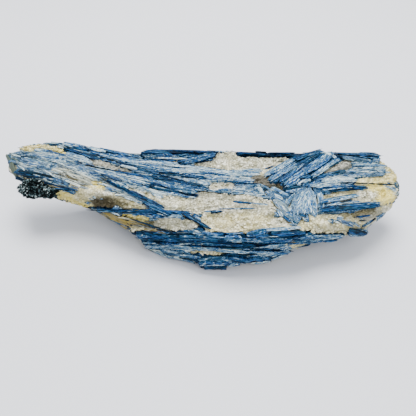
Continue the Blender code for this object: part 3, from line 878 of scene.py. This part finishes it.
# Stretches of kyanite that are weathered grey-green or stained, as bars in the main view: ends, radius,
# and the shares of grey-green, yellow-brown and white rind.
SEEN_TINTS = [
    ((8, 152), (12, 170), 9, (0.9, 0.0, 0.2)),
    ((14, 172), (50, 186), 6, (0.5, 0.1, 0.2)),
    ((110, 218), (150, 226), 6, (0.1, 1.0, 0.2)),
    ((98, 213), (150, 225), 4, (0.5, 0.2, 0.1)),
    ((150, 222), (176, 231), 4, (0.6, 0.2, 0.1)),
    ((12, 160), (100, 178), 18, (0.10, 0.05, 0.2)),
    ((340, 222), (372, 226), 8, (0.15, 0.05, 0.3)),
    ((352, 164), (392, 175), 12, (0.25, 0.0, 0.2)),
    ((396, 182), (400, 200), 6, (0.6, 0.0, 0.3)),
    ((56, 170), (88, 184), 8, (0.0, 0.45, 0.7)),
    ((46, 187), (55, 187), 3, (0.0, 1.0, 0.0)),
    ((262, 186), (312, 224), 12, (0.10, 0.0, 0.6)),
    ((268, 200), (290, 206), 5, (0.0, 0.1, 0.9)),
    ((145, 247), (200, 264), 5, (0.25, 0.0, 0.2)),
]


def swung(direction, axis, degrees):
    return Matrix.Rotation(math.radians(degrees), 3, axis) @ direction


def along_surface(way, outward):
    """A direction laid flat on the surface."""
    return (way - outward * way.dot(outward)).normalized()


def on_sole(point, outward):
    return point[2] < SOLE_BAND and outward.z < -0.6


def bar_distance(places, start, end):
    """How far places (n × 2) are from a bar's line."""
    start, way = np.array(start, float), np.array(end, float) - np.array(start, float)
    share = np.clip(((places - start) @ way) / (way @ way), 0, 1)
    return np.linalg.norm(places - start - share[:, None] * way, axis=1)


def wobble(points, size, seed):
    """Noise of about -1 to 1 at points (n × 3), with features of about a size in metres."""
    return np.array([noise.noise(Vector(p) / size + Vector((seed, seed * 1.7, -seed))) for p in points])


class Grain:
    """The kyanite's grain everywhere on the stone, blended from the lays."""

    REACH = 1.5 * MM  # how near to a lay's line it counts in full

    def __init__(self, envelope):
        rows = []
        for start, end, *rest in SEEN_LAYS:
            rows.append((*envelope.under(*start), *envelope.under(*end), *rest))
        for start, end, *rest in HIDDEN_LAYS:
            rows.append((*(Vector(start) * MM), *(Vector(end) * MM), *rest))
        table = np.array(rows)
        self.start = table[:, 0:3]
        self.way = table[:, 3:6] - self.start
        self.facts = table[:, 6:]

    def weights(self, point):
        """How much each lay counts at a point, and the point's place from each lay's start."""
        gap = point - self.start
        share = np.clip((gap * self.way).sum(axis=1) / (self.way ** 2).sum(axis=1), 0, 1)
        away = gap - self.way * share[:, None]
        weight = 1 / ((away ** 2).sum(axis=1) + self.REACH ** 2) ** 2
        return weight / weight.sum(), gap

    def at(self, point):
        """(direction, tone, spread, swing, length, width) at a point."""
        weight, _ = self.weights(point)
        ways = self.way / np.linalg.norm(self.way, axis=1, keepdims=True)
        ways = ways * np.where(ways @ ways[weight.argmax()] < 0, -1, 1)[:, None]
        return Vector(weight @ ways).normalized(), *(weight @ self.facts)

    def bundle(self, point, outward):
        """Two numbers of about -1 to 1 that run on along the grain: the bundle's own tone, and one that is
        near 0 along the cracks between bundles."""
        weight, gap = self.weights(point)
        tone = crack = 0.0
        for i in np.argsort(weight)[-3:]:
            way = Vector(self.way[i]).normalized()
            along = Vector(gap[i]).dot(way) / MM
            across = Vector(gap[i]).dot(outward.cross(way).normalized()) / MM
            tone += weight[i] * noise.noise(Vector((along / 24, across / 1.9, i * 7.3)))
            crack += weight[i] * noise.noise(Vector((along / 30, across / 2.6, i * 5.1 + 50)))
        return tone * 2, crack * 2


def tints_at(point, shown, rng):
    """The shares of weathering, stain and rind of a blade or splinter about a point."""
    if not shown:
        return (0.2 * rng.random(), 0.15 * rng.random(), 0.3 * rng.random())
    place = in_view(np.array(point)[None, :])
    total = np.zeros(3)
    for start, end, radius, tint in SEEN_TINTS:
        near = 1 - bar_distance(place, start, end)[0] / radius
        total = np.maximum(total, np.array(tint) * min(max(near * 2, 0), 1))
    return tuple(total * rng.uniform(0.6, 1.2))


def hidden_quartz(points, ragged):
    """The quartz and its stains on the sides that the main view doesn't see: patches, with more near the
    table and none at the left tip."""
    patches = wobble(points * (0.35, 1, 1), 9 * MM, 21.0) + ragged * 0.06
    low = np.clip(1 - points[:, 2] / (16 * MM), 0, 1)
    share = np.clip((patches - 0.16 + low * 0.3) / 0.12, 0, 1) * (points[:, 0] > -94 * MM)
    stains = np.clip(wobble(points, 14 * MM, 33.0) * 1.6, 0, 1)[:, None] * np.array([0.8, 0.3, 0.1])
    return share, stains


def quartz_shares(points, shown):
    """How much each point is quartz, from 0 to 1, and its stains (n × 3)."""
    places = in_view(points)
    ragged = wobble(points * (0.25, 1, 1), 1.8 * MM, 4.0) * 2.6
    ragged += wobble(points * (0.45, 1, 1), 1.0 * MM, 8.0) * 1.6
    share, total = np.zeros(len(points)), np.full(len(points), 1e-6)
    stains = np.zeros((len(points), 3))
    for start, end, radius, kind in SEEN_QUARTZ:
        inside = radius + 0.5 - bar_distance(places, start, end) + ragged
        weight = np.exp(np.clip(inside, -6, 6) * 0.8)
        stains += weight[:, None] * np.array(STAINS[kind])
        total += weight
        share = np.maximum(share, np.clip(inside / 1.6, 0, 1))
    stains /= total[:, None]
    hidden_share, hidden_stains = hidden_quartz(points, ragged)
    return np.where(shown, share, hidden_share), np.where(shown[:, None], stains, hidden_stains)


# --- shapes that are laid in hundreds ---


def marked(*names):
    """An empty bmesh, with a layer for each attribute that the laying tree reads."""
    bm = bmesh.new()
    return bm, *(bm.verts.layers.float.new(name) for name in names)


def join_rings(bm, low, high):
    """The faces between two rings of as many corners."""
    for i in range(len(low)):
        j = (i + 1) % len(low)
        bm.faces.new((low[i], low[j], high[j], high[i]))


def splinter_shape(rng, strips, ragged, ends, flat):
    """A blade 1 m long, wide and thick about the origin. Its top is lengthwise ridges, its ends are torn,
    and attributes across and along run from 0 to 1."""
    stations = np.array([-0.5, -0.42, -0.15, 0.14, 0.4, 0.5]) + rng.uniform(-0.02, 0.02, 6)
    widths = np.array([ends, 0.85, 1.0, 1.0, 0.85, ends * 0.7]) * rng.uniform(0.85, 1.12, 6)
    heights = (ends, 0.85, 1.0, 1.0, 0.85, ends)
    tears = (1, 0.6, 0.2, 0.2, 0.6, 1)
    sways = rng.uniform(-0.3, 0.3, 6) * (1 - flat)
    inner = (np.arange(1, strips) + rng.uniform(-0.3, 0.3, strips - 1)) / strips
    lines = np.sort(np.concatenate([[0, 1], inner]))
    tops = rng.uniform(flat, 1, strips + 1)
    tops[[0, -1]] *= 0.6
    bottom = [(1, -0.5), (0, -0.5)]
    bm, across_layer, along_layer, underside_shade_layer = marked("across", "along", "low")
    rings = []
    for station, width, height, tear, sway in zip(stations, widths, heights, tears, sways):
        ring = []
        for line, top in [*zip(lines, tops), *bottom]:
            x = station + rng.uniform(-ragged * tear, ragged * tear)
            if top > 0:
                y = (line - 0.5) * width + sway
                z = height * (top - 0.5 + rng.uniform(-0.05, 0.05))
            else:
                y = (line - 0.5) * width * 0.8 + sway
                z = -0.5 * height
            vert = bm.verts.new((x, y, z))
            vert[across_layer] = line
            vert[along_layer] = station + 0.5
            # low is 1 on the underside, which the kyanite material darkens as painted shade
            vert[underside_shade_layer] = 0 if top > 0 else 1
            ring.append(vert)
        rings.append(ring)
    for low, high in zip(rings, rings[1:]):
        join_rings(bm, low, high)
    bm.faces.new(rings[0])
    bm.faces.new(rings[-1])
    bmesh.ops.recalc_face_normals(bm, faces=bm.faces)
    bmesh.ops.triangulate(bm, faces=bm.faces)
    return mesh_from(bm)


def chip_shape(rng, corners, flatness):
    """An angular grain about 1 m across."""
    bm, across_layer, along_layer = marked("across", "along")
    for _ in range(corners):
        way = Vector(rng.normal(size=3)).normalized()
        bm.verts.new(Vector((way.x, way.y, way.z * flatness)) * 0.5 * rng.uniform(0.8, 1))
    hull = bmesh.ops.convex_hull(bm, input=bm.verts)
    loose = {e for e in hull["geom_interior"] + hull["geom_unused"] if isinstance(e, bmesh.types.BMVert)}
    bmesh.ops.delete(bm, geom=list(loose), context="VERTS")
    for vert in bm.verts:
        vert[across_layer] = 0.5
        vert[along_layer] = vert.co.x + 0.5
    bmesh.ops.recalc_face_normals(bm, faces=bm.faces)
    return mesh_from(bm)


def flake_shape(rng):
    """A thin six-sided mica plate about 1 m across, with a second layer stepped on it."""
    bm, across_layer = marked("across")
    for radius, bottom, top in ((0.5, -0.1, 0.1), (0.4, 0.1, 0.25)):
        outline = []
        for turn in (i * math.pi / 3 for i in range(6)):
            outline.append((math.cos(turn) * radius * rng.uniform(0.8, 1), math.sin(turn) * radius))
        low, high = ([bm.verts.new((x, y, z)) for x, y in outline] for z in (bottom, top))
        join_rings(bm, low, high)
        bm.faces.new(low[::-1])
        bm.faces.new(high)
    for vert in bm.verts:
        vert[across_layer] = 0.5
    bmesh.ops.recalc_face_normals(bm, faces=bm.faces)
    return mesh_from(bm)


class Laid:
    """Where shapes are laid: each has a place, a turn, a size and what the materials need to know."""

    COLUMNS = [
        ("turn", "QUATERNION", 4),
        ("size", "FLOAT_VECTOR", 3),
        ("pick", "INT", 1),
        ("tone", "FLOAT", 1),
        ("tint", "FLOAT_VECTOR", 3),
        ("seed", "FLOAT", 1),
    ]

    def __init__(self):
        self.rows = []

    def add(self, place, lengthwise, outward, size, pick, tone, tint=(0, 0, 0), seed=0.0):
        lengthwise = lengthwise.normalized()
        side = outward.cross(lengthwise).normalized()
        up = lengthwise.cross(side)
        turn = Matrix((lengthwise, side, up)).transposed().to_quaternion()
        self.rows.append((*place, *turn, *size, pick, tone, *tint, seed))

    def mesh(self):
        first = 3
        columns = first + sum(width for *_, width in self.COLUMNS)
        table = np.array(self.rows, dtype=float).reshape(-1, columns)
        mesh = bpy.data.meshes.new("places")
        mesh.vertices.add(len(table))
        mesh.vertices.foreach_set("co", table[:, :first].ravel())
        for name, kind, width in self.COLUMNS:
            values = table[:, first:first + width]
            store(mesh, name, kind, values.astype(np.int32) if kind == "INT" else values)
            first += width
        return mesh


class Seats:
    """The places laid for kyanite, kept apart by the solid that each is nearest to."""

    def __init__(self, nodes):
        self.laid = {name: Laid() for name in nodes}
        self.owners = []
        corners, points = [], []
        for name in nodes:
            mesh = frame["nodes"][name].data
            corners += [[len(points) + i for i in face.vertices] for face in mesh.polygons]
            self.owners += [name] * len(mesh.polygons)
            points += places_of(mesh).tolist()
        self.solids = BVHTree.FromPolygons(points, corners)

    def near(self, point):
        return self.laid[self.owners[self.solids.find_nearest(point)[2]]]


def laying_tree():
    """Lays a shape on each place of another object, bends it a little, and joins it to this object's own
    mesh."""
    inputs = [
        ("Base", "Geometry"), ("Places", "Object"), ("Shapes", "Collection"),
        ("Bend", "Float"), ("Bend Size", "Float"), ("Material", "Material"),
    ]
    graph, (base, places, shapes, bend, bend_size, material) = new_tree("lay_shapes", inputs, "Dressed")
    size = graph.named("size", "FLOAT_VECTOR")
    laid = graph.add("GeometryNodeInstanceOnPoints", {}, {
        "Points": graph.add("GeometryNodeObjectInfo", {"transform_space": "ORIGINAL"}, [places], output=4),
        "Instance": graph.add("GeometryNodeCollectionInfo", {}, [shapes, True, True]),
        "Pick Instance": True,
        "Instance Index": graph.named("pick", "INT"),
        "Rotation": graph.named("turn", "QUATERNION"),
        "Scale": size,
    })
    real = graph.add("GeometryNodeRealizeInstances", {}, [laid])

    long, wide, _ = graph.parts(size)
    along, across, seed = (graph.named(name) for name in ("along", "across", "seed"))
    grain = [along * long / MM + seed * 91, across * wide / MM + seed * 37, seed * 13]
    real = graph.stored(real, "grain", graph.add("ShaderNodeCombineXYZ", {}, grain), "FLOAT_VECTOR")
    real = graph.stored(real, "edge", ((across - 0.5) * 2).size() ** 8)

    where = graph.add("GeometryNodeInputPosition")
    waves = {"Vector": where, "Scale": 1 / bend_size, "Detail": 1.0}
    drift = graph.add("ShaderNodeTexNoise", {}, waves, output=1)
    drift = graph.add("ShaderNodeVectorMath", {"operation": "SUBTRACT"}, [drift, (0.5, 0.5, 0.5)])
    real = graph.moved(real, graph.scaled(drift, bend))

    both = graph.tree.nodes.new("GeometryNodeJoinGeometry")
    graph.tree.links.new(base.socket, both.inputs[0])
    graph.tree.links.new(real.socket, both.inputs[0])
    return finished_tree(graph, Wire(graph, both.outputs[0]), material)


class Shapes:
    """The shapes that are laid, in a collection that the laying tree picks from by number."""

    def __init__(self):
        rng = np.random.default_rng(SHAPE_SEED)
        made = {
            "thin": [splinter_shape(rng, strips=2, ragged=0.06, ends=0.3, flat=0.6) for _ in range(9)],
            "broad": [splinter_shape(rng, strips=8, ragged=0.035, ends=0.6, flat=0.8) for _ in range(5)],
            "chip": [chip_shape(rng, corners=9, flatness=0.8) for _ in range(5)],
            "flake": [flake_shape(rng) for _ in range(2)],
        }
        self.tree = laying_tree()
        self.shelf = bpy.data.collections.new("shapes")
        self.picks = {}
        for sort, meshes in made.items():
            self.picks[sort] = []
            for mesh in meshes:
                number = len(self.shelf.objects)
                self.shelf.objects.link(bpy.data.objects.new(f"shape_{number:02d}", mesh))
                self.picks[sort].append(number)

    def pick(self, sort, rng):
        return int(rng.choice(self.picks[sort]))

    def dress(self, name, base, laid, material, bend=0.3 * MM, bend_size=6 * MM):
        """The base mesh with the shapes laid on it, as one new object with nothing below the table top."""
        places = link("places", laid.mesh())
        mesh = through_tree(name, base, self.tree, {
            "Places": places, "Shapes": self.shelf,
            "Bend": bend, "Bend Size": bend_size, "Material": material,
        })
        spots = places.data
        bpy.data.objects.remove(places)
        bpy.data.meshes.remove(spots)
        co = places_of(mesh)
        co[:, 2] = np.maximum(co[:, 2], 0)
        move_to(mesh, co)
        mesh.name = name
        return link(name, mesh)

    def clear(self):
        for shape in list(self.shelf.objects):
            bpy.data.objects.remove(shape)
        bpy.data.collections.remove(self.shelf)


# --- laying the kyanite ---

DARK_TINT = (0.07, 0, 0)  # the blades of the deepest blue have only a trace of weathering
BROAD = 1.5  # mm: a wider blade is ridged, and covered with laths
LONGEST_LATH = 26 * MM
LATH_SHIFTS = [-0.12, -0.04, 0.04, 0.1, 0.26]  # how a lath's tone differs from its blade's
LATH_CHANCES = [0.22, 0.28, 0.25, 0.15, 0.1]
STATIONS = np.linspace(0, 1, 11)  # where a splinter's line is tried for quartz and blades
CRACK = 0.06  # a bundle's second number nearer to 0 than this is a crack, with thin dark splinters
TANGLED = 20  # degrees of swing past which half of the splinters are crumbs
FARTHEST = 0.7 * MM  # how far the middle of a splinter's line may be from the surface
DRY = 0.5  # a place with a smaller share of quartz than this takes kyanite
STRAY = 0.002  # the share of splinters clear of blades that ignore the quartz

Chord = namedtuple("Chord", "spot first last outward sag tone wide sort")


def lay_laths(shapes, seat, place, way, outward, width, thick, tone, tint, rng):
    """Covers a broad blade with fine laths that run along it."""
    side = outward.cross(way).normalized()
    for _ in range(int(way.length / MM * width / (4.5 if tone < 0.57 else 9))):
        long = min(way.length * rng.uniform(0.35, 0.9), LONGEST_LATH)
        slide = (rng.random() - 0.5) * (way.length - long * 0.8)
        across = rng.uniform(-0.46, 0.46)
        spot = place + way.normalized() * slide + side * across * width * MM
        spot += outward * (thick * rng.uniform(0.22, 0.42) - abs(across) * thick * 0.3)
        line = swung(way, outward, rng.normal() * 1.5)
        size = (long, rng.uniform(0.3, 0.75) * MM, rng.uniform(0.3, 0.5) * MM)
        leaned = Matrix.Rotation(rng.normal() * 0.2, 3, way.normalized()) @ outward
        own = tone + rng.choice(LATH_SHIFTS, p=LATH_CHANCES)
        seat.add(spot, line, leaned, size, shapes.pick("thin", rng), own, tint, rng.random())


def lay_blades(envelope, shapes, seats, rng):
    """Lays the blades that stand out, and returns their lines and half their widths in the main view."""
    footprints = []
    for start, end, width, tone, lift, roll in SEEN_BLADES:
        first, last = envelope.under(*start), envelope.under(*end)
        chord, way = (first + last) / 2, last - first
        middle, outward = envelope.nearest(chord)
        _, out_a = envelope.nearest(first)
        _, out_b = envelope.nearest(last)
        outward = (outward * 2 + out_a + out_b).normalized()
        rise = max((middle - chord).dot(outward), 0) * 0.6
        outward = swung(outward, way.normalized(), roll)
        thick = min(max(width * 0.42, 0.9), 2.0) * MM
        place = chord + outward * (rise + lift * MM - thick * 0.5)
        size = (way.length, width * MM, thick)
        seat = seats.near(chord)
        tint = tints_at(chord, True, rng) if tone > 0 else DARK_TINT
        pick = shapes.pick("broad" if width > BROAD else "thin", rng)
        seat.add(place, way, outward, size, pick, tone, tint, rng.random())
        footprints.append((start, end, width / MM_PER_UNIT / 2))
        if width >= BROAD and lift >= 0.3:
            lay_laths(shapes, seat, place, way, outward, width, thick, tone, tint, rng)
    return footprints


def covered(places, footprints, margin=0.0):
    """Which places (n × 2) in the main view are under a blade that stands out."""
    under = np.zeros(len(places), bool)
    for start, end, radius in footprints:
        under |= bar_distance(places, start, end) < radius + margin
    return under


def fitted(envelope, centre, way, outward, long):
    """The ends of a line about a centre, shortened until it keeps near the surface, with the outward
    direction along it and how far the surface bulges over its middle."""
    for _ in range(4):
        first, out_a = envelope.nearest(centre - way * long / 2)
        last, out_b = envelope.nearest(centre + way * long / 2)
        sag = (centre - (first + last) / 2).dot(outward)
        if abs(sag) < FARTHEST and (last - first).length > long * 0.85:
            break
        long *= 0.7
    return first, last, (outward + (out_a + out_b) * 0.5).normalized(), sag


def splinter_chords(envelope, grain, points, faces, shown, rng):
    """The lines that splinters would take about the points, before quartz and blades cut them short."""
    chords = []
    for i, point in enumerate(points):
        outward = envelope.normal(faces[i])
        if on_sole(point, outward) or not shown[i] and rng.random() < 0.6:
            continue
        way, tone, spread, swing, long, wide = grain.at(point)
        way = along_surface(way, outward)
        shift, crack = grain.bundle(point, outward)
        cracked = abs(crack) < CRACK
        way = swung(way, outward, rng.normal() * swing * (0.4 if cracked else 1))
        tone = tone + spread * (1.3 * shift + rng.uniform(-0.5, 0.5))
        if cracked:
            tone, wide = tone * 0.25 - 0.05, wide * 0.5
        long = long * MM * math.exp(rng.normal() * 0.4)
        first, last, outward, sag = fitted(envelope, Vector(point), way, outward, long)
        crumbs = swing > TANGLED and rng.random() < 0.5
        chords.append(Chord(i, first, last, outward, sag, tone, wide * MM, "chip" if crumbs else "thin"))
    return chords


def stations_of(chords, shown, footprints):
    """Which stations along each chord are off the quartz, and which are clear of blades that stand out."""
    first = np.array([chord.first for chord in chords])
    last = np.array([chord.last for chord in chords])
    stations = (first[:, None] + (last - first)[:, None] * STATIONS[:, None]).reshape(-1, 3)
    seen = np.repeat(shown[[chord.spot for chord in chords]], len(STATIONS))
    quartz, _ = quartz_shares(stations, seen)
    under = covered(in_view(stations), footprints) & seen
    return (quartz < DRY).reshape(len(chords), -1), ~under.reshape(len(chords), -1)


def free_stretch(free, stray):
    """The first and last of the free stations that run on from the middle one, or None. A stray splinter
    lies across the middle ones, free or not."""
    middle = len(free) // 2
    if stray:
        return middle - 2, middle + 2
    if not free[middle]:
        return None
    low = high = middle
    while low > 0 and free[low - 1]:
        low -= 1
    while high < len(free) - 1 and free[high + 1]:
        high += 1
    return low, high


def lay_splinters(envelope, grain, shapes, seats, footprints, rng):
    """Lays splinters everywhere but on the sole, the quartz and the blades that stand out."""
    points, faces = envelope.scattered(SPLINTER_COUNT, rng)
    shown = envelope.all_shown(points)
    chords = splinter_chords(envelope, grain, points, faces, shown, rng)
    for chord, dry, clear in zip(chords, *stations_of(chords, shown, footprints)):
        stretch = free_stretch(dry & clear, clear.all() and rng.random() < STRAY)
        if stretch is None:
            continue
        low, high = (STATIONS[k] for k in stretch)
        first, last = chord.first.lerp(chord.last, low), chord.first.lerp(chord.last, high)
        way, middle = last - first, (first + last) / 2
        thin = chord.sort == "thin"
        if thin and way.length < 1.3 * chord.wide:
            continue
        widening = min(math.exp(rng.normal() * 0.45), 1.9)
        wide = chord.wide * (widening * (0.68 if shown[chord.spot] else 1.2))
        thick = max(wide * rng.uniform(0.5, 0.95), 0.6 * MM)
        lift = rng.uniform(-0.25, 0.65) * MM
        long = way.length if thin else wide * rng.uniform(1.2, 2.2)
        outward = swung(chord.outward, way.normalized(), rng.normal() * 14)
        tint = tints_at(points[chord.spot], shown[chord.spot], rng)
        place = middle + chord.outward * (lift + max(chord.sag, 0) * 0.5)
        seat, pick = seats.near(middle), shapes.pick(chord.sort, rng)
        seat.add(place, way, outward, (long, wide, thick), pick, chord.tone, tint, rng.random())


LONGEST_EDGE = 4 * MM  # of the rock between the splinters, in its first cuts
ROCK_DEPTH = 0.3  # mm under the solid's own surface
SUNK = 3.2  # mm more where quartz covers it


def grained_copy(node, grain, envelope):
    """A copy of a solid that carries the grain, as the rock that shows between the splinters, darkened as
    painted shade in the gaps between them. It is sunk where quartz covers it."""
    bm = merged(node)
    for _ in range(3):
        long_edges = [edge for edge in bm.edges if edge.calc_length() > LONGEST_EDGE]
        bmesh.ops.subdivide_edges(bm, edges=long_edges, cuts=1)
    bmesh.ops.triangulate(bm, faces=bm.faces)
    mesh = mesh_from(bm)
    points = places_of(mesh)
    share, _ = quartz_shares(points, envelope.all_shown(points))
    grains, tones, moved = [], [], []
    for point, quartz in zip(points, share):
        way, tone, *_ = grain.at(point)
        _, outward = envelope.nearest(point)
        side = outward.cross(way).normalized()
        grains.append([point @ np.array(axis) / MM for axis in (way, side, outward)])
        # painted shade: the rock's tone is cut to 0.45 to 0.85 of the grain's, so the gaps between splinters
        # read dark
        tones.append(tone * min(max(0.45 + (tone - 0.5) * 3, 0.45), 0.85))
        depth = ROCK_DEPTH + SUNK * quartz * (outward.z > -0.3)
        moved.append(Vector(point) - outward * depth * MM)
    move_to(mesh, moved)
    store(mesh, "grain", "FLOAT_VECTOR", grains)
    store(mesh, "tone", "FLOAT", tones)
    store(mesh, "tint", "FLOAT_VECTOR", np.zeros((len(points), 3)))
    store(mesh, "edge", "FLOAT", np.zeros(len(points)))
    # painted shade: low of 0.3 darkens the rock in the kyanite material
    store(mesh, "low", "FLOAT", np.full(len(points), 0.3))
    return mesh


# --- the quartz and the mica ---

LUMPS = ("Raise", "Lump", "Lump Size", "Chip", "Chip Size")
BED_LUMPS = dict(zip(LUMPS, (0.1 * MM, 0.8 * MM, 5 * MM, 1.0 * MM, 2.0 * MM)))
MICA_LUMPS = dict(zip(LUMPS, (-0.3 * MM, 2.0 * MM, 5 * MM, 1.5 * MM, 2.6 * MM)))
# the higher flake tones paint glints on some of the flakes
FLAKE_TONES = [0.0, 0.2, 0.4, 0.56, 0.68, 0.9]
FLAKE_CHANCES = [0.28, 0.18, 0.18, 0.18, 0.14, 0.04]
FULL_TURN = 6.3  # radians, near enough
DEEPEST_BED = 6 * MM  # how far under the envelope the bed is still brought up to it
USUAL_RISE = 1.2 * MM  # where the envelope is farther off than that


def chipped_tree():
    """Pushes a bed out where it shows, and breaks its surface into lumps and sugary chips."""
    inputs = [("Bed", "Geometry"), *((name, "Float") for name in LUMPS), ("Material", "Material")]
    graph, wires = new_tree("chip_surface", inputs, "Chipped")
    bed, rise, lump, lump_size, chip, chip_size, material = wires
    where = graph.add("GeometryNodeInputPosition")
    lumps = graph.noise(where, 1 / lump_size) - 0.5
    cells = {"Vector": where, "Scale": 1 / chip_size, "Detail": 1.0, "Roughness": 0.6}
    chips = 0.5 - graph.add("ShaderNodeTexVoronoi", {"feature": "F1"}, cells)
    height = graph.named("bare") * (rise + graph.named("rise") + lumps * lump * 2 + chips * chip)
    # hollow is high where lumps and chips sink, and the quartz material paints shade there
    bed = graph.stored(bed, "hollow", (0.42 - lumps - chips * 0.6).clamped())
    bed = graph.moved(bed, graph.scaled(graph.add("GeometryNodeInputNormal"), height))
    return finished_tree(graph, bed, material)


def quartz_bed(envelope, tree, material, footprints):
    """The bed, brought up to the envelope where quartz shows and left under the blades elsewhere."""
    mesh = remeshed(merged(QUARTZ_NODE), 0.85 * MM)
    points, normals = places_of(mesh), normals_of(mesh)
    gaps = [envelope.gap(point, normal, DEEPEST_BED) for point, normal in zip(points, normals)]
    rise = np.array([gap or USUAL_RISE for gap in gaps])
    raised = points + normals * rise[:, None]
    shown = envelope.all_shown(raised)
    share, stains = quartz_shares(raised, shown)
    on_table = (points[:, 2] < 1.0 * MM) & (normals[:, 2] < -0.5)
    share = np.where(on_table, 0, share)
    share = np.where(shown & covered(in_view(raised), footprints, margin=0.5), share * 0.6, share)
    store(mesh, "bare", "FLOAT", share)
    store(mesh, "rise", "FLOAT", rise)
    store(mesh, "tint", "FLOAT_VECTOR", stains)
    return through_tree("bed", mesh, tree, {**BED_LUMPS, "Material": material})


def lay_grains(envelope, shapes, laid, footprints, rng):
    """Lays angular grains over the quartz that shows."""
    points, faces = envelope.scattered(GRAIN_COUNT, rng)
    shown = envelope.all_shown(points)
    share, stains = quartz_shares(points, shown)
    share = np.where(shown & covered(in_view(points), footprints, margin=2.0), 0, share)
    for i, point in enumerate(points):
        outward = envelope.normal(faces[i])
        if share[i] < 0.9 or on_sole(point, outward) or not shown[i] and rng.random() < 0.5:
            continue
        size = rng.uniform(0.8, 2.4) * MM
        way = along_surface(Vector(rng.normal(size=3)), outward)
        way = (way + Vector((1, 0, 0)) * math.copysign(0.8, way.x)).normalized()
        leaned = (outward + Vector(rng.normal(size=3) * 0.35)).normalized()
        place = Vector(point) + outward * rng.uniform(-0.2, 0.45) * MM
        box = (size * rng.uniform(1, 1.8), size, size * rng.uniform(0.45, 0.8))
        pick = shapes.pick("chip", rng)
        laid.add(place, way, leaned, box, pick, rng.uniform(-0.5, 0.6), tuple(stains[i]), rng.random())


def lay_flakes(clump, shapes, laid, rng):
    """Stands mica flakes on the clump."""
    points, normals = places_of(clump), normals_of(clump)
    for i in rng.choice(len(points), size=FLAKE_COUNT):
        tone = rng.choice(FLAKE_TONES, p=FLAKE_CHANCES)
        # the flakes painted as glints are smaller
        size = rng.uniform(0.8, 2.0) * (0.7 if tone > 0.6 else 1) * MM
        outward = (Vector(normals[i]) + Vector(rng.normal(size=3) * 0.5)).normalized()
        way = Matrix.Rotation(rng.uniform(0, FULL_TURN), 3, outward) @ outward.orthogonal().normalized()
        box = (size * 1.3, size * 0.7, size * 0.5)
        laid.add(Vector(points[i]), way, outward, box, shapes.pick("flake", rng), tone, seed=rng.random())


# --- the finished pieces ---


def hand_over(piece, node=None):
    """Gives a piece its body. Where it dresses a solid, it takes that solid's place."""
    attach(piece, "root")
    if node:
        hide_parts(node)


def dress_kyanite(envelope, grain, shapes, seats):
    """A piece for each solid of blades, and one for the splinters that stick in the quartz."""
    kyanite = kyanite_material()
    for node, laid in seats.laid.items():
        if node in (QUARTZ_NODE, MICA_NODE):
            continue
        piece = shapes.dress(node + "_crystal", grained_copy(node, grain, envelope), laid, kyanite)
        hand_over(piece, node)
    none = bpy.data.meshes.new("none")
    loose = shapes.dress("splinters_in_quartz", none, seats.laid[QUARTZ_NODE], kyanite)
    hand_over(loose)


def dress_quartz(envelope, shapes, chips, footprints, rng):
    quartz = quartz_material()
    grains = Laid()
    lay_grains(envelope, shapes, grains, footprints, rng)
    bed = quartz_bed(envelope, chips, quartz, footprints)
    piece = shapes.dress("quartz_bed", bed, grains, quartz, bend=0)
    hand_over(piece, QUARTZ_NODE)


def dress_mica(shapes, chips, rng):
    mica = mica_material()
    mesh = remeshed(merged(MICA_NODE), 0.5 * MM)
    store(mesh, "bare", "FLOAT", np.ones(len(mesh.vertices)))
    mesh = through_tree("clump", mesh, chips, {**MICA_LUMPS, "Material": mica})
    store(mesh, "tone", "FLOAT", np.full(len(mesh.vertices), 0.3))
    flakes = Laid()
    lay_flakes(mesh, shapes, flakes, rng)
    clump = shapes.dress("mica_clump", mesh, flakes, mica, bend=0)
    hand_over(clump, MICA_NODE)


def build():
    nodes = list(frame["nodes"])
    envelope = Envelope(nodes)
    grain = Grain(envelope)
    shapes = Shapes()
    seats = Seats(nodes)
    rng = np.random.default_rng(LAYING_SEED)
    footprints = lay_blades(envelope, shapes, seats, rng)
    lay_splinters(envelope, grain, shapes, seats, footprints, rng)
    dress_kyanite(envelope, grain, shapes, seats)
    chips = chipped_tree()
    dress_quartz(envelope, shapes, chips, footprints, rng)
    dress_mica(shapes, chips, rng)
    shapes.clear()


# --- the table and the light ---

FLOOR_HALF = 3  # m
FLOOR_COOL = (0.60, 0.615, 0.665, 1)
FLOOR_DIM = (0.585, 0.60, 0.65, 1)
SKY = (0.97, 0.985, 1.0, 1)
SKY_STRENGTH = 1.25
LAMPS = [  # name, place and diameter in m, power in W, colour
    ("window", (0.0, 0.45, 1.1), 0.8, 33, (1.0, 0.99, 0.97)),
    ("front", (0.5, -0.8, 0.9), 0.8, 8, (0.97, 0.99, 1.0)),
]


def make_floor():
    bm = bmesh.new()
    bmesh.ops.create_grid(bm, x_segments=1, y_segments=1, size=FLOOR_HALF)
    floor = link("floor", mesh_from(bm, "floor"))
    material, graph = new_material("pale_floor")
    cloud = graph.noise(graph.place(), 6.0, 2.0)
    finish_surface(graph, {"Base Color": graph.blend(FLOOR_COOL, FLOOR_DIM, cloud), "Roughness": 0.6})
    floor.data.materials.append(material)


def light_room():
    world = bpy.data.worlds.new("room")
    world.use_nodes = True
    colour, strength, *_ = world.node_tree.nodes["Background"].inputs
    colour.default_value = SKY
    strength.default_value = SKY_STRENGTH
    bpy.context.scene.world = world
    for name, place, size, power, tint in LAMPS:
        data = bpy.data.lights.new(name, "AREA")
        data.shape = "DISK"
        data.size = size
        data.energy = power
        data.color = tint
        lamp = link(name, data)
        lamp.location = place
        lamp.rotation_euler = Vector(place).to_track_quat("Z", "Y").to_euler()


make_camera()
build()
make_floor()
light_room()
